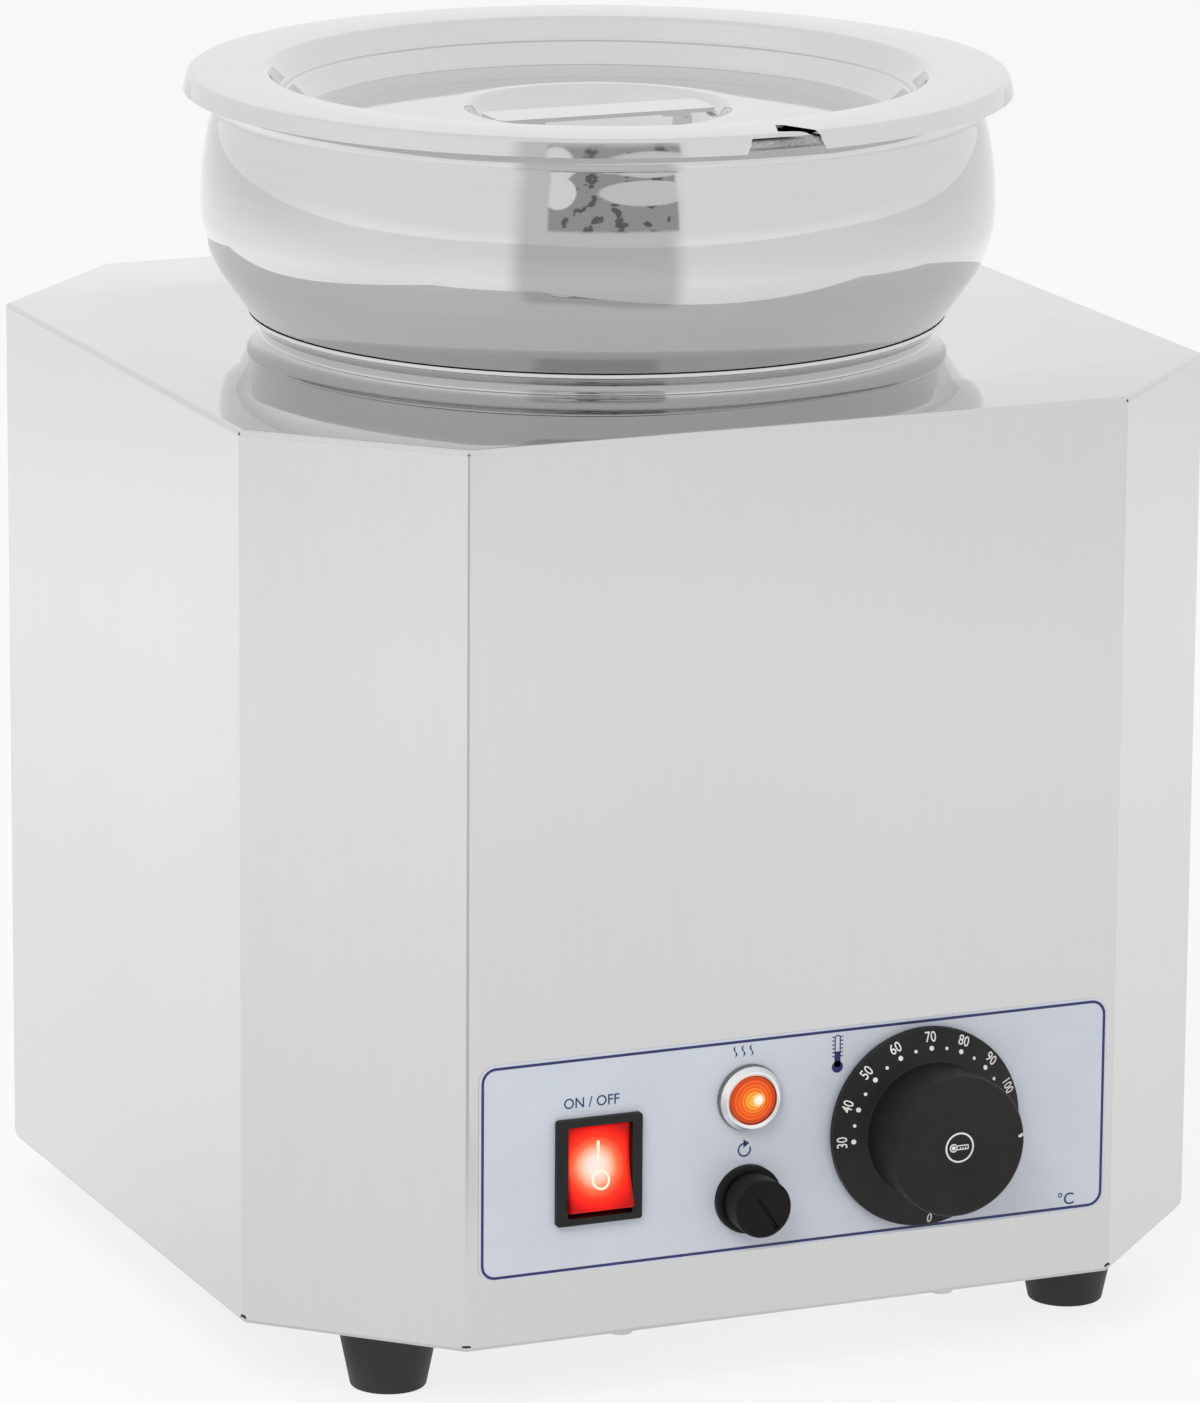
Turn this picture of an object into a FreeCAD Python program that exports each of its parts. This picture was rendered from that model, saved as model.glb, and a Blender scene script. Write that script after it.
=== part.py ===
import FreeCAD, Part
import math
import os

from FreeCAD import Vector

# Electric bain marie with one round pot, in millimetres.
# The front faces -Y, +X is to the right, and z is 0 on the surface that it stands on.
# The origin lies under the pot's axis, at the middle of the housing.

# Housing
BODY_W = 300.0
BODY_D = 295.0
CORNER_LEG = 49.0
FOOT_H = 21.0
BODY_H = 260.0
SHEET = 1.0
FOLD_R = 1.5
SEAM = 0.1
BASE_INSET = 1.0
BASE_GAP = 0.2
VENT_L = 44.0
VENT_W = 5.0
VENT_PITCH = 15.0
VENT_ROWS = 7
FLANGE_W = 13.0
DECK_EDGE_H = 2.0
DECK_EDGE_R = 1.2
JOGGLE_H = 12.0
RELIEF_R = 1.4
DECK_RELIEF_R = 0.45

# Raised collar round the well, and the water tank under it
LIP_R = 102.4
COLLAR_R = 106.4
COLLAR_H = 6.5
COLLAR_FILLET = 4.0
COLLAR_ROLL = 2.5
LIP_ROLL = 1.2
HEM_H = 3.5
TANK_R = 107.0
TANK_FLANGE_R = 118.0
TANK_FILLET = 13.0
WATER_GAP = 15.0

# Pot; heights are above the collar's lip
POT_T = 0.9
POT_DROP = 131.5
POT_BASE_R = 98.2
POT_WALL_R = 99.5
POT_FILLET = 15.0
POT_FLARE = 58.0
SHOULDER_BEND = 4.0
BELLY_LOW_R = 113.2
BELLY_LOW_BEND = 24.0
BELLY_R = 116.2
BELLY_H = 34.5
BELLY_BEND = 60.0
NECK_R = 113.0
NECK_H = 59.5
NECK_BEND = 8.0
CURL_R = 2.2
CURL_MAJOR = 118.0
CURL_H = 67.2
SEAT_GAP = 0.3

# Lid; heights are below its flat rim
LID_T = 1.0
LID_R = 121.7
LID_EDGE_R = 2.0
LID_SKIRT_H = 5.0
LID_WALL_R = 97.0
LID_WALL_BEND = 2.5
LEDGE_DROP = 6.6
LEDGE_R = 93.6
LEDGE_W = 2.4
LEDGE_FALL = 0.4
LEDGE_BEND = 1.4
DISC_DROP = 13.2
DISC_R = 87.2
DISC_BEND = 2.0
DOME_H = 2.2
DOME_EASE = 0.22
DOME_R = 500.0
DISH_R = 38.6
DISH_LIP_R = 2.5
DISH_FLOOR_R = 31.0
DISH_FLOOR_BEND = 6.0
DISH_DEPTH = 13.0
NOTCH_X = 6.0
NOTCH_W = 22.0
NOTCH_FLARE = 3.0
NOTCH_BEND = 2.0
NOTCH_CORNER_R = 0.8
SLOT_X0 = 4.1
SLOT_X1 = 16.3
SLOT_TIP_X0 = 8.0
SLOT_TIP_X1 = 10.0
SLOT_DEPTH = 13.9
SLOT_TIP_DEPTH = 13.1
SLOT_CORNER_R = 0.6
HANDLE_L = 69.0
HANDLE_W = 17.0
HANDLE_T = 1.2
HANDLE_CORNER_R = 3.0
HANDLE_DROP = 12.2
HANDLE_LEG_X = 28.0
HANDLE_LEG_W = 11.0
HANDLE_TAB = 9.0

# Control strip on the front; heights are above the housing's lower edge
OVERLAY_T = 0.25
OVERLAY_X0 = -97.5
OVERLAY_X1 = 98.7
OVERLAY_Z0 = 20.0
OVERLAY_Z1 = 83.5
OVERLAY_R = 5.0
CUTOUT_GAP = 0.2

# Rocker switch
SWITCH_X = -61.3
SWITCH_Z = 49.9
BEZEL_W = 26.0
BEZEL_H = 31.0
BEZEL_T = 2.2
BEZEL_CORNER_R = 2.0
SWITCH_BODY_W = 21.8
SWITCH_BODY_H = 29.6
SWITCH_BODY_D = 24.0
ROCKER_W = 19.2
ROCKER_HALF_H = 12.3
ROCKER_END_OUT = 5.6
ROCKER_MID_OUT = 3.3
ROCKER_FACE_R = 30.0
ROCKER_EDGE_R = 0.8
ROCKER_SIDE = 1.0
ROCKER_KEEL = 3.8
ROCKER_KEEL_R = 2.0
ROCKER_TILT = 9.0
ROCKER_GAP = 0.35
ROCKER_WELL_H = 26.9
ROCKER_WELL_D = 9.0
PIVOT_DEPTH = 3.0
PIVOT_R = 1.2
TAB_X = 5.0
TAB_Z = 7.5

# Flat connector tabs, alike on all controls
TAB_T = 0.8
TAB_W = 6.3
SLIM_TAB_W = 4.8
TAB_L = 8.0
TAB_ROOT = 1.0

# Indicator lamp
LAMP_X = -14.7
LAMP_Z = 65.7
LAMP_RING_R = 10.0
LAMP_RING_H = 4.0
LAMP_BAND_H = 1.8
LAMP_BAND_TAPER = 0.4
LAMP_FACE_W = 1.0
LAMP_FACE_SINK = 0.6
LAMP_SHOULDER_R = 1.2
LAMP_EDGE_R = 0.4
LENS_R = 7.2
LENS_DOME = 1.3
LENS_SEAT = 1.0
LAMP_BODY_R = 6.3
LAMP_BODY_D = 30.0
LAMP_BODY_EDGE_R = 1.0
LAMP_TAB_X = 2.5
LAMP_NUT_AF = 17.0
LAMP_NUT_T = 4.0

# Manual-reset cut-out
RESET_X = -15.0
RESET_Z = 35.9
BUSHING_R = 5.0
BUSHING_OUT = 9.4
RESET_NUT_R = 10.0
RESET_NUT_T = 3.0
RESET_NUT_EDGE_R = 1.0
CAP_R = 8.5
CAP_OUT = 13.0
CAP_END = 1.7
CAP_EDGE_R = 1.2
CAP_FOOT_R = 0.4
CAP_SLOT_W = 1.2
CAP_SLOT_D = 0.9
CAP_SLOT_BACK = 4.0
CAP_SLOT_AHEAD = 7.1
CAP_SLOT_TURN = 56.0
BUTTON_R = 2.5
BUTTON_OUT = 10.5
BUTTON_TRAVEL = 2.0
BUTTON_TAIL = 8.0
BUTTON_EDGE_R = 0.6
CUTOUT_BODY_W = 28.0
CUTOUT_BODY_D = 32.0
CUTOUT_CORNER_R = 3.0
CUTOUT_TAB_X = 6.5

# Thermostat and its dial
DIAL_X = 39.6
DIAL_Z = 51.9
SKIRT_R = 29.4
SKIRT_BACK = 1.5
SKIRT_EDGE = 4.2
SKIRT_TOP = 7.2
SKIRT_WALL = 1.2
SKIRT_EDGE_R = 0.6
SKIRT_BACK_R = 0.4
HUB_R = 20.0
HUB_FACE_R = 20.7
KNOB_OUT = 26.0
KNOB_WALL = 1.8
KNOB_EDGE_R = 1.2
KNOB_NOTCH_W = 1.4
KNOB_NOTCH_L = 2.0
KNOB_NOTCH_D = 3.0
KNOB_NOTCH_TURN = -4.0
BOSS_R = 6.0
BOSS_BACK = 5.0
SHAFT_R = 3.0
SHAFT_FLAT = 1.6
SHAFT_OUT = 21.0
SHAFT_TAIL = 12.0
THERMO_BODY_W = 40.0
THERMO_BODY_D = 22.0
THERMO_CORNER_R = 4.0
THERMO_CUP_R = 17.0
THERMO_CUP_D = 8.0
THERMO_CUP_EDGE_R = 2.0
THERMO_TAB_Z = 12.0
THERMO_TAB_IN = 8.0
THERMO_SCREW_SPAN = 28.0
THERMO_SCREW_L = 7.0
THERMO_HOLE_L = 8.0
THERMO_BUSHING_R = 4.8
THERMO_BUSHING_OUT = 2.5

# Heating and sensing under the tank
PLATE_IN = 29.0
PLATE_T = 4.0
PLATE_EDGE_R = 1.0
RING_IN = 18.0
TUBE_R = 3.25
RING_OPEN = 50.0
LEG_BEND = 8.0
LEG_DROP = 30.0
CLAMP_IN = 8.0
CLAMP_W = 16.0
CLAMP_T = 2.0
CLAMP_CORNER_R = 4.0
STUD_R = 3.0
STUD_L = 18.0
STUD_NUT_AF = 10.0
STUD_NUT_T = 5.0
BULB_R = 3.0
BULB_L = 60.0
BULB_EDGE_R = 1.5
BULB_CLEAR = 8.0
CLIP_T = 0.8
CLIP_W = 9.0
CLIP_FOOT = 3.5
CAPILLARY_R = 0.9
CAPILLARY_BEND = 7.0
THERMO_LINE_RUN = 18.0
THERMO_LINE_DROP = 34.0
CUTOUT_LINE_RUN = 18.0
CUTOUT_LINE_DROP = 40.0
CUTOUT_LINE_OUT = 30.0

# Feet and fasteners
FOOT_INSET = 42.0
FOOT_R = 10.9
FOOT_TOP_R = 15.2
FOOT_POCKET_R = 6.0
FOOT_POCKET_H = 12.0
FOOT_TREAD = 2.0
FOOT_GROOVE = 1.0
FOOT_GROOVE_TAPER = 0.6
FOOT_EDGE_R = 0.8
M5_R = 2.5
M5_HEAD_R = 4.3
M5_HEAD_H = 3.0
M5_AF = 8.0
M5_NUT_T = 4.0
M5_END = 2.0
M4_R = 2.0
M4_HEAD_R = 3.6
M4_HEAD_H = 2.2
BASE_SCREW_L = 8.0
SCREW_GAP = 0.1
RUNNING_GAP = 0.05
EDGE_SCREW_IN = 7.5

# Mains entry at the back
GLAND_IN = 72.0
GLAND_Z = 45.0
GLAND_BORE_R = 4.1
GLAND_THREAD_R = 8.0
GLAND_AF = 22.0
GLAND_HEX_T = 5.0
GLAND_NECK_R = 7.0
GLAND_OUT = 26.0
GLAND_CAP_EASE = 0.3
GLAND_CAP_H = 10.5
GLAND_MOUTH_W = 2.6
GLAND_CAP_BEND = 3.0
GLAND_EDGE_R = 0.6
GLAND_MOUTH_R = 1.0
GLAND_RIBS = 12
GLAND_RIB_R = 1.2
GLAND_RIB_OUT = 0.5
GLAND_RIB_L = 9.4
GLAND_INSIDE = 12.0
LOCKNUT_T = 4.0
LOCKNUT_AF = 24.0
BLOCK_FROM_GLAND = 26.0
BLOCK_IN = 51.5
BLOCK_L = 36.0
BLOCK_W = 18.0
BLOCK_H = 15.0
BLOCK_WIRE_Z = 6.0
BLOCK_WIRE_R = 2.0
BLOCK_GROOVE_W = 1.2
BLOCK_GROOVE_D = 3.75
BLOCK_SCREW_L = 6.0
BLOCK_SCREW_LIFT = 1.0
EARTH_FROM_GLAND = 14.0
EARTH_IN = 55.5
EARTH_H = 18.0

# Places that follow from the sizes above
X_AXIS = Vector(1, 0, 0)
Y_AXIS = Vector(0, 1, 0)
UP = Vector(0, 0, 1)
OUT = Vector(0, -1, 0)
DECK_Z = FOOT_H + BODY_H
BASE_TOP = FOOT_H + SHEET
WALL_Z0 = BASE_TOP + BASE_GAP
WALL_Z1 = DECK_Z - DECK_EDGE_H
FRONT = -BODY_D / 2
BACK = BODY_D / 2
FRONT_IN = FRONT + SHEET
FACE_W = BODY_W - 2 * CORNER_LEG
SIDE_SEAM = FRONT + CORNER_LEG
FOOT_X = BODY_W / 2 - FOOT_INSET
FOOT_Y = BODY_D / 2 - FOOT_INSET
GLAND_X = BODY_W / 2 - GLAND_IN
BLOCK_X = GLAND_X - BLOCK_FROM_GLAND
BLOCK_Y = BACK - BLOCK_IN
EARTH_X = GLAND_X + EARTH_FROM_GLAND
EARTH_Y = BACK - EARTH_IN
STRIP = FRONT - OVERLAY_T
LIP_Z = DECK_Z + COLLAR_H
TANK_TOP = DECK_Z - SHEET
POT_BASE = LIP_Z - POT_DROP
TANK_BASE = POT_BASE - WATER_GAP - SHEET
LID_TOP = LIP_Z + CURL_H + CURL_R + SEAT_GAP + LID_T
DISC_Z = LID_TOP - DISC_DROP
DISH_Z = DISC_Z + DOME_H - DISH_DEPTH
PLATE_BASE = TANK_BASE - PLATE_T
PLATE_R = TANK_R - PLATE_IN
RING_R = PLATE_R - RING_IN
CLAMP_L = 2 * (PLATE_R - CLAMP_IN)
BULB_OFFSET = PLATE_R + BULB_CLEAR


def at_strip(x, z, out=0.0):
    """Point on the front face, out millimetres in front of it, from a height on the housing."""
    return Vector(x, FRONT - out, FOOT_H + z)


def path_edges(points, radii, closed=False):
    """Lines through the points, with each corner rounded by its radius (0 keeps it sharp)."""
    count = len(points)
    starts = list(points)
    ends = list(points)
    arcs = [None] * count
    corners = range(count) if closed else range(1, count - 1)
    for i in corners:
        if radii[i] <= 0:
            continue
        here = points[i]
        back = (points[i - 1] - here).normalize()
        ahead = (points[(i + 1) % count] - here).normalize()
        half = back.getAngle(ahead) / 2
        middle = (back + ahead).normalize()
        reach = radii[i] / math.tan(half)
        starts[i] = here + back * reach
        ends[i] = here + ahead * reach
        top = here + middle * (radii[i] / math.sin(half) - radii[i])
        arcs[i] = Part.Arc(starts[i], top, ends[i]).toShape()
    edges = []
    for i in range(count if closed else count - 1):
        after = (i + 1) % count
        if (starts[after] - ends[i]).Length > 1e-6:
            edges.append(Part.LineSegment(ends[i], starts[after]).toShape())
        if arcs[after] is not None:
            edges.append(arcs[after])
    return edges


def slab(points, radius, along):
    """Flat outline with rounded corners, extruded along a vector."""
    radii = radius if isinstance(radius, list) else [radius] * len(points)
    wire = Part.Wire(path_edges(points, radii, closed=True))
    return Part.Face(wire).extrude(along)


def box(x0, x1, y0, y1, z0, z1):
    return Part.makeBox(x1 - x0, y1 - y0, z1 - z0, Vector(x0, y0, z0))


def rod(radius, length, start, direction=UP):
    return Part.makeCylinder(radius, length, start, direction)


def placed(shape, start, direction):
    """Turns a shape made along +Z to a direction and sets it at a point."""
    shape.Placement = FreeCAD.Placement(start, FreeCAD.Rotation(UP, direction))
    return shape


def turned(points, radii, start=Vector(0, 0, 0), direction=UP):
    """Closed section of (radius, height) points, turned round an axis."""
    outline = [Vector(r, 0, h) for r, h in points]
    face = Part.Face(Part.Wire(path_edges(outline, radii, closed=True)))
    return placed(face.revolve(Vector(0, 0, 0), UP, 360), start, direction)


def sheet_section(path, thickness):
    """Face between an open upright path and its offset, to the left of its heading if positive."""
    return Part.Wire(path).makeOffset2D(thickness, 0, True, True)


def spun_sheet(points, radii, thickness):
    """Sheet of even thickness from an open path of (radius, height) points, turned round Z."""
    path = path_edges([Vector(r, 0, h) for r, h in points], radii)
    return sheet_section(path, thickness).revolve(Vector(0, 0, 0), UP, 360)


def hexagon(across_flats, height, start, direction=UP):
    corner = across_flats / math.sqrt(3)
    angles = [math.radians(60 * i) for i in range(6)]
    points = [Vector(corner * math.cos(a), corner * math.sin(a), 0) for a in angles]
    return placed(slab(points, 0.0, UP * height), start, direction)


def pipe(points, bend, radius):
    """Round tube or wire along straight runs joined by bends."""
    edges = path_edges(points, [bend] * len(points))
    start = Part.makeCircle(radius, points[0], points[1] - points[0])
    return Part.Wire(edges).makePipeShell([Part.Wire([start])], True, False)


def screw(radius, length, head_r, head_h, seat, direction):
    """Pan-head screw: the head stands on the seat, and the shank runs along the direction."""
    edge = head_h / 3
    points = [(0, -head_h), (head_r, -head_h), (head_r, 0), (radius, 0), (radius, length), (0, length)]
    return turned(points, [0, edge, 0, 0, 0, 0], seat, direction)


def octagon(inset, z):
    """Housing outline, moved inwards by inset, as a list of corner points."""
    w = BODY_W / 2 - inset
    d = BODY_D / 2 - inset
    leg = CORNER_LEG - inset * (2 - math.sqrt(2))
    half = [(w - leg, -d), (w, -d + leg), (w, d - leg), (w - leg, d)]
    return [Vector(x, y, z) for x, y in half + [(-x, -y) for x, y in half]]


def prism(inset, z0, z1):
    return slab(octagon(inset, z0), max(FOLD_R - inset, 0.0), UP * (z1 - z0))


def corner_holes(radius, length, z):
    """Rods that pass inwards through the housing's eight folds at a height."""
    corners = octagon(0, z)
    holes = []
    for i, corner in enumerate(corners):
        back = (corners[i - 1] - corner).normalize()
        ahead = (corners[(i + 1) % len(corners)] - corner).normalize()
        inward = (back + ahead).normalize()
        holes.append(rod(radius, length, corner - inward * SHEET, inward))
    return holes


def edge_screw_places():
    """Screws through the base plate into the walls' lower flanges."""
    front = BODY_D / 2 - EDGE_SCREW_IN
    side = BODY_W / 2 - EDGE_SCREW_IN
    return [(x, y) for y in (-front, front) for x in (-FACE_W / 4, FACE_W / 4)] + [(-side, 0), (side, 0)]


def foot_places():
    return [(x, y) for y in (-FOOT_Y, FOOT_Y) for x in (-FOOT_X, FOOT_X)]


def strip_rect(x, z, width, height, radius, start, depth):
    """Upright rounded rectangle facing the front, from a y plane and depth millimetres back."""
    zc = FOOT_H + z
    corners = [(-1, -1), (1, -1), (1, 1), (-1, 1)]
    points = [Vector(x + sx * width / 2, start, zc + sz * height / 2) for sx, sz in corners]
    return slab(points, radius, Y_AXIS * depth)


def strip_cuts(clear):
    """Cutters for everything that passes through the front panel, with a clearance."""
    depth = 4 * SHEET
    start = FRONT - 2 * SHEET
    cuts = [strip_rect(SWITCH_X, SWITCH_Z, SWITCH_BODY_W + 2 * clear, SWITCH_BODY_H + 2 * clear,
                       clear, start, depth)]
    rounds = [
        (LAMP_X, LAMP_Z, LAMP_BODY_R),
        (RESET_X, RESET_Z, BUSHING_R),
        (DIAL_X, DIAL_Z, THERMO_BUSHING_R),
        (DIAL_X - THERMO_SCREW_SPAN / 2, DIAL_Z, M4_R),
        (DIAL_X + THERMO_SCREW_SPAN / 2, DIAL_Z, M4_R),
    ]
    for x, z, radius in rounds:
        cuts.append(rod(radius + clear, depth, Vector(x, start, FOOT_H + z), Y_AXIS))
    return cuts


# Sheet housing

def make_deck():
    edge = prism(0, WALL_Z1, DECK_Z)
    rim = [e for e in edge.Edges if min(v.Z for v in e.Vertexes) > DECK_Z - SEAM]
    edge = edge.makeFillet(DECK_EDGE_R, rim)
    edge = edge.cut(prism(SHEET, WALL_Z1, TANK_TOP))
    low = WALL_Z1 - JOGGLE_H
    joggle = prism(SHEET + SEAM, low, DECK_Z - SHEET / 2).cut(prism(2 * SHEET + SEAM, low, DECK_Z))
    deck = edge.fuse(joggle)
    outer = COLLAR_R + COLLAR_FILLET + COLLAR_ROLL
    deck = deck.cut(rod(outer, 2 * SHEET, Vector(0, 0, TANK_TOP - SHEET)))
    points = [
        (outer, DECK_Z),
        (COLLAR_R, DECK_Z),
        (COLLAR_R, LIP_Z),
        (LIP_R, LIP_Z),
        (LIP_R, LIP_Z - HEM_H),
    ]
    collar = spun_sheet(points, [0, COLLAR_FILLET, COLLAR_ROLL, LIP_ROLL, 0], SHEET)
    deck = deck.fuse(collar).removeSplitter()
    for hole in corner_holes(DECK_RELIEF_R, 2 * SHEET + DECK_RELIEF_R, DECK_Z - DECK_EDGE_R):
        deck = deck.cut(hole)
    return deck


def make_walls():
    """All eight walls with their lower flange and fold reliefs, before they part at the side folds."""
    walls = prism(0, WALL_Z0, WALL_Z1).cut(prism(SHEET, WALL_Z0 + SHEET, WALL_Z1))
    walls = walls.cut(prism(FLANGE_W, WALL_Z0, WALL_Z1))
    for hole in corner_holes(RELIEF_R, 2 * SHEET + RELIEF_R, WALL_Z0):
        walls = walls.cut(hole)
    for x, y in edge_screw_places():
        walls = walls.cut(rod(M4_R + SCREW_GAP, 4 * SHEET, Vector(x, y, WALL_Z0 - SHEET)))
    return walls


def make_wrap():
    entry = Vector(GLAND_X, BACK - 2 * SHEET, FOOT_H + GLAND_Z)
    wall = make_walls().cut(rod(GLAND_THREAD_R + SCREW_GAP, 4 * SHEET, entry, Y_AXIS))
    return wall.cut(box(-BODY_W, BODY_W, FRONT - SHEET, SIDE_SEAM, WALL_Z0 - SHEET, DECK_Z))


def make_front_panel():
    front = box(-BODY_W, BODY_W, FRONT - SHEET, SIDE_SEAM, WALL_Z0 - SHEET, DECK_Z)
    shell = make_walls().common(front)
    for cut in strip_cuts(CUTOUT_GAP):
        shell = shell.cut(cut)
    return shell


def make_base_plate():
    plate = prism(BASE_INSET, FOOT_H, BASE_TOP)
    for x, y in foot_places():
        plate = plate.cut(rod(M5_R + SCREW_GAP, 4 * SHEET, Vector(x, y, FOOT_H - SHEET)))
    for x, y in edge_screw_places():
        plate = plate.cut(rod(M4_R + SCREW_GAP, 4 * SHEET, Vector(x, y, FOOT_H - SHEET)))
    for row in range(VENT_ROWS):
        y = (row - (VENT_ROWS - 1) / 2) * VENT_PITCH
        points = [Vector(sx * VENT_L / 2, y + sy * VENT_W / 2, FOOT_H)
                  for sx, sy in [(-1, -1), (1, -1), (1, 1), (-1, 1)]]
        plate = plate.cut(slab(points, VENT_W / 2 - SEAM, UP * SHEET))
    return plate


def make_tank():
    points = [
        (0, TANK_BASE),
        (TANK_R, TANK_BASE),
        (TANK_R, TANK_TOP - SHEET),
        (TANK_FLANGE_R, TANK_TOP - SHEET),
    ]
    return spun_sheet(points, [0, TANK_FILLET, FOLD_R, 0], SHEET)


def make_overlay():
    width = OVERLAY_X1 - OVERLAY_X0
    height = OVERLAY_Z1 - OVERLAY_Z0
    middle = (OVERLAY_X0 + OVERLAY_X1) / 2
    film = strip_rect(middle, (OVERLAY_Z0 + OVERLAY_Z1) / 2, width, height, OVERLAY_R, STRIP, OVERLAY_T)
    for cut in strip_cuts(2 * CUTOUT_GAP):
        film = film.cut(cut)
    return film


# Pot and lid

def make_pot():
    flare = math.radians(POT_FLARE)
    roll_r = LIP_R + LIP_ROLL
    roll_z = LIP_Z - LIP_ROLL
    rise = (LIP_ROLL + SEAT_GAP) / math.cos(flare) - (roll_r - POT_WALL_R) * math.tan(flare)
    shoulder = roll_z + rise
    low_z = shoulder + (BELLY_LOW_R - POT_WALL_R) * math.tan(flare)
    points = [
        (0, POT_BASE),
        (POT_BASE_R, POT_BASE),
        (POT_WALL_R, shoulder),
        (BELLY_LOW_R, low_z),
        (BELLY_R, LIP_Z + BELLY_H),
        (NECK_R, LIP_Z + NECK_H),
        (CURL_MAJOR - CURL_R / 2, LIP_Z + CURL_H),
    ]
    radii = [0, POT_FILLET, SHOULDER_BEND, BELLY_LOW_BEND, BELLY_BEND, NECK_BEND, 0]
    wall = spun_sheet(points, radii, POT_T)
    curl = Part.makeTorus(CURL_MAJOR, CURL_R, Vector(0, 0, LIP_Z + CURL_H))
    return wall.fuse(curl)


def make_lid():
    crown = DISC_Z + DOME_H
    middle_r = (DISH_R + DISC_R) / 2
    points = [
        (0, DISH_Z),
        (DISH_FLOOR_R, DISH_Z),
        (DISH_R, crown),
        (middle_r, crown - DOME_EASE),
        (DISC_R, DISC_Z),
        (LEDGE_R - LEDGE_W, LID_TOP - LEDGE_DROP - LEDGE_FALL),
        (LEDGE_R, LID_TOP - LEDGE_DROP),
        (LID_WALL_R, LID_TOP),
        (LID_R, LID_TOP),
        (LID_R, LID_TOP - LID_SKIRT_H),
    ]
    inner = [0, DISH_FLOOR_BEND, DISH_LIP_R, DOME_R, DISC_BEND]
    outer = [LEDGE_BEND, LEDGE_BEND, LID_WALL_BEND, LID_EDGE_R, 0]
    pan = spun_sheet(points, inner + outer, -LID_T)
    edge = -LID_R
    deep = LID_TOP - LID_SKIRT_H - LID_T
    slot = [
        Vector(SLOT_X0, edge - LID_T, deep),
        Vector(SLOT_X1, edge - LID_T, deep),
        Vector(SLOT_X1, edge, deep),
        Vector(SLOT_TIP_X1, edge + SLOT_TIP_DEPTH, deep),
        Vector(SLOT_TIP_X0, edge + SLOT_DEPTH, deep),
        Vector(SLOT_X0, edge, deep),
    ]
    pan = pan.cut(slab(slot, [0, 0, 0, SLOT_CORNER_R, SLOT_CORNER_R, 0], UP * 3 * LID_SKIRT_H))
    wide = NOTCH_W / 2
    low = LID_TOP - LID_SKIRT_H - NOTCH_FLARE
    high = LID_TOP - LID_T
    bend_z = LID_TOP - LID_SKIRT_H / 2
    mouth = [
        (NOTCH_X - wide - NOTCH_FLARE, low), (NOTCH_X + wide + NOTCH_FLARE, low), (NOTCH_X + wide, bend_z),
        (NOTCH_X + wide, high), (NOTCH_X - wide, high), (NOTCH_X - wide, bend_z),
    ]
    outline = [Vector(x, edge - NOTCH_FLARE, z) for x, z in mouth]
    radii = [0, 0, NOTCH_BEND, NOTCH_CORNER_R, NOTCH_CORNER_R, NOTCH_BEND]
    return pan.cut(slab(outline, radii, Y_AXIS * 3 * NOTCH_FLARE))


def make_lid_handle():
    top = LID_TOP - HANDLE_DROP
    corners = [(-1, -1), (1, -1), (1, 1), (-1, 1)]
    points = [Vector(sx * HANDLE_L / 2, sy * HANDLE_W / 2, top - HANDLE_T) for sx, sy in corners]
    strap = slab(points, HANDLE_CORNER_R, UP * HANDLE_T)
    under = top - HANDLE_T
    path = [
        Vector(HANDLE_LEG_X - HANDLE_TAB, -HANDLE_LEG_W / 2, under),
        Vector(HANDLE_LEG_X, -HANDLE_LEG_W / 2, under),
        Vector(HANDLE_LEG_X - HANDLE_T, -HANDLE_LEG_W / 2, DISH_Z),
        Vector(HANDLE_LEG_X - HANDLE_TAB, -HANDLE_LEG_W / 2, DISH_Z),
    ]
    bend = 2 * HANDLE_T
    leg = sheet_section(path_edges(path, [0, bend, bend, 0]), -HANDLE_T)
    leg = leg.extrude(Y_AXIS * HANDLE_LEG_W)
    strap = strap.fuse([leg, leg.mirror(Vector(0, 0, 0), X_AXIS)])
    return strap.removeSplitter()


# Rocker switch

def make_switch_housing():
    bezel = strip_rect(SWITCH_X, SWITCH_Z, BEZEL_W, BEZEL_H, BEZEL_CORNER_R, STRIP - BEZEL_T, BEZEL_T)
    face = [e for e in bezel.Edges if max(v.Y for v in e.Vertexes) < STRIP - BEZEL_T / 2]
    bezel = bezel.makeFillet(BEZEL_T / 3, face)
    body = strip_rect(SWITCH_X, SWITCH_Z, SWITCH_BODY_W, SWITCH_BODY_H, CUTOUT_GAP, STRIP, SWITCH_BODY_D)
    well_w = ROCKER_W + 2 * ROCKER_GAP
    well = strip_rect(SWITCH_X, SWITCH_Z, well_w, ROCKER_WELL_H, ROCKER_GAP, STRIP - BEZEL_T,
                      BEZEL_T + ROCKER_WELL_D)
    pivot = Vector(SWITCH_X - SWITCH_BODY_W, STRIP + PIVOT_DEPTH, FOOT_H + SWITCH_Z)
    bore = rod(PIVOT_R + RUNNING_GAP, 2 * SWITCH_BODY_W, pivot, X_AXIS)
    return bezel.fuse(body).cut(well).cut(bore)


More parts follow.
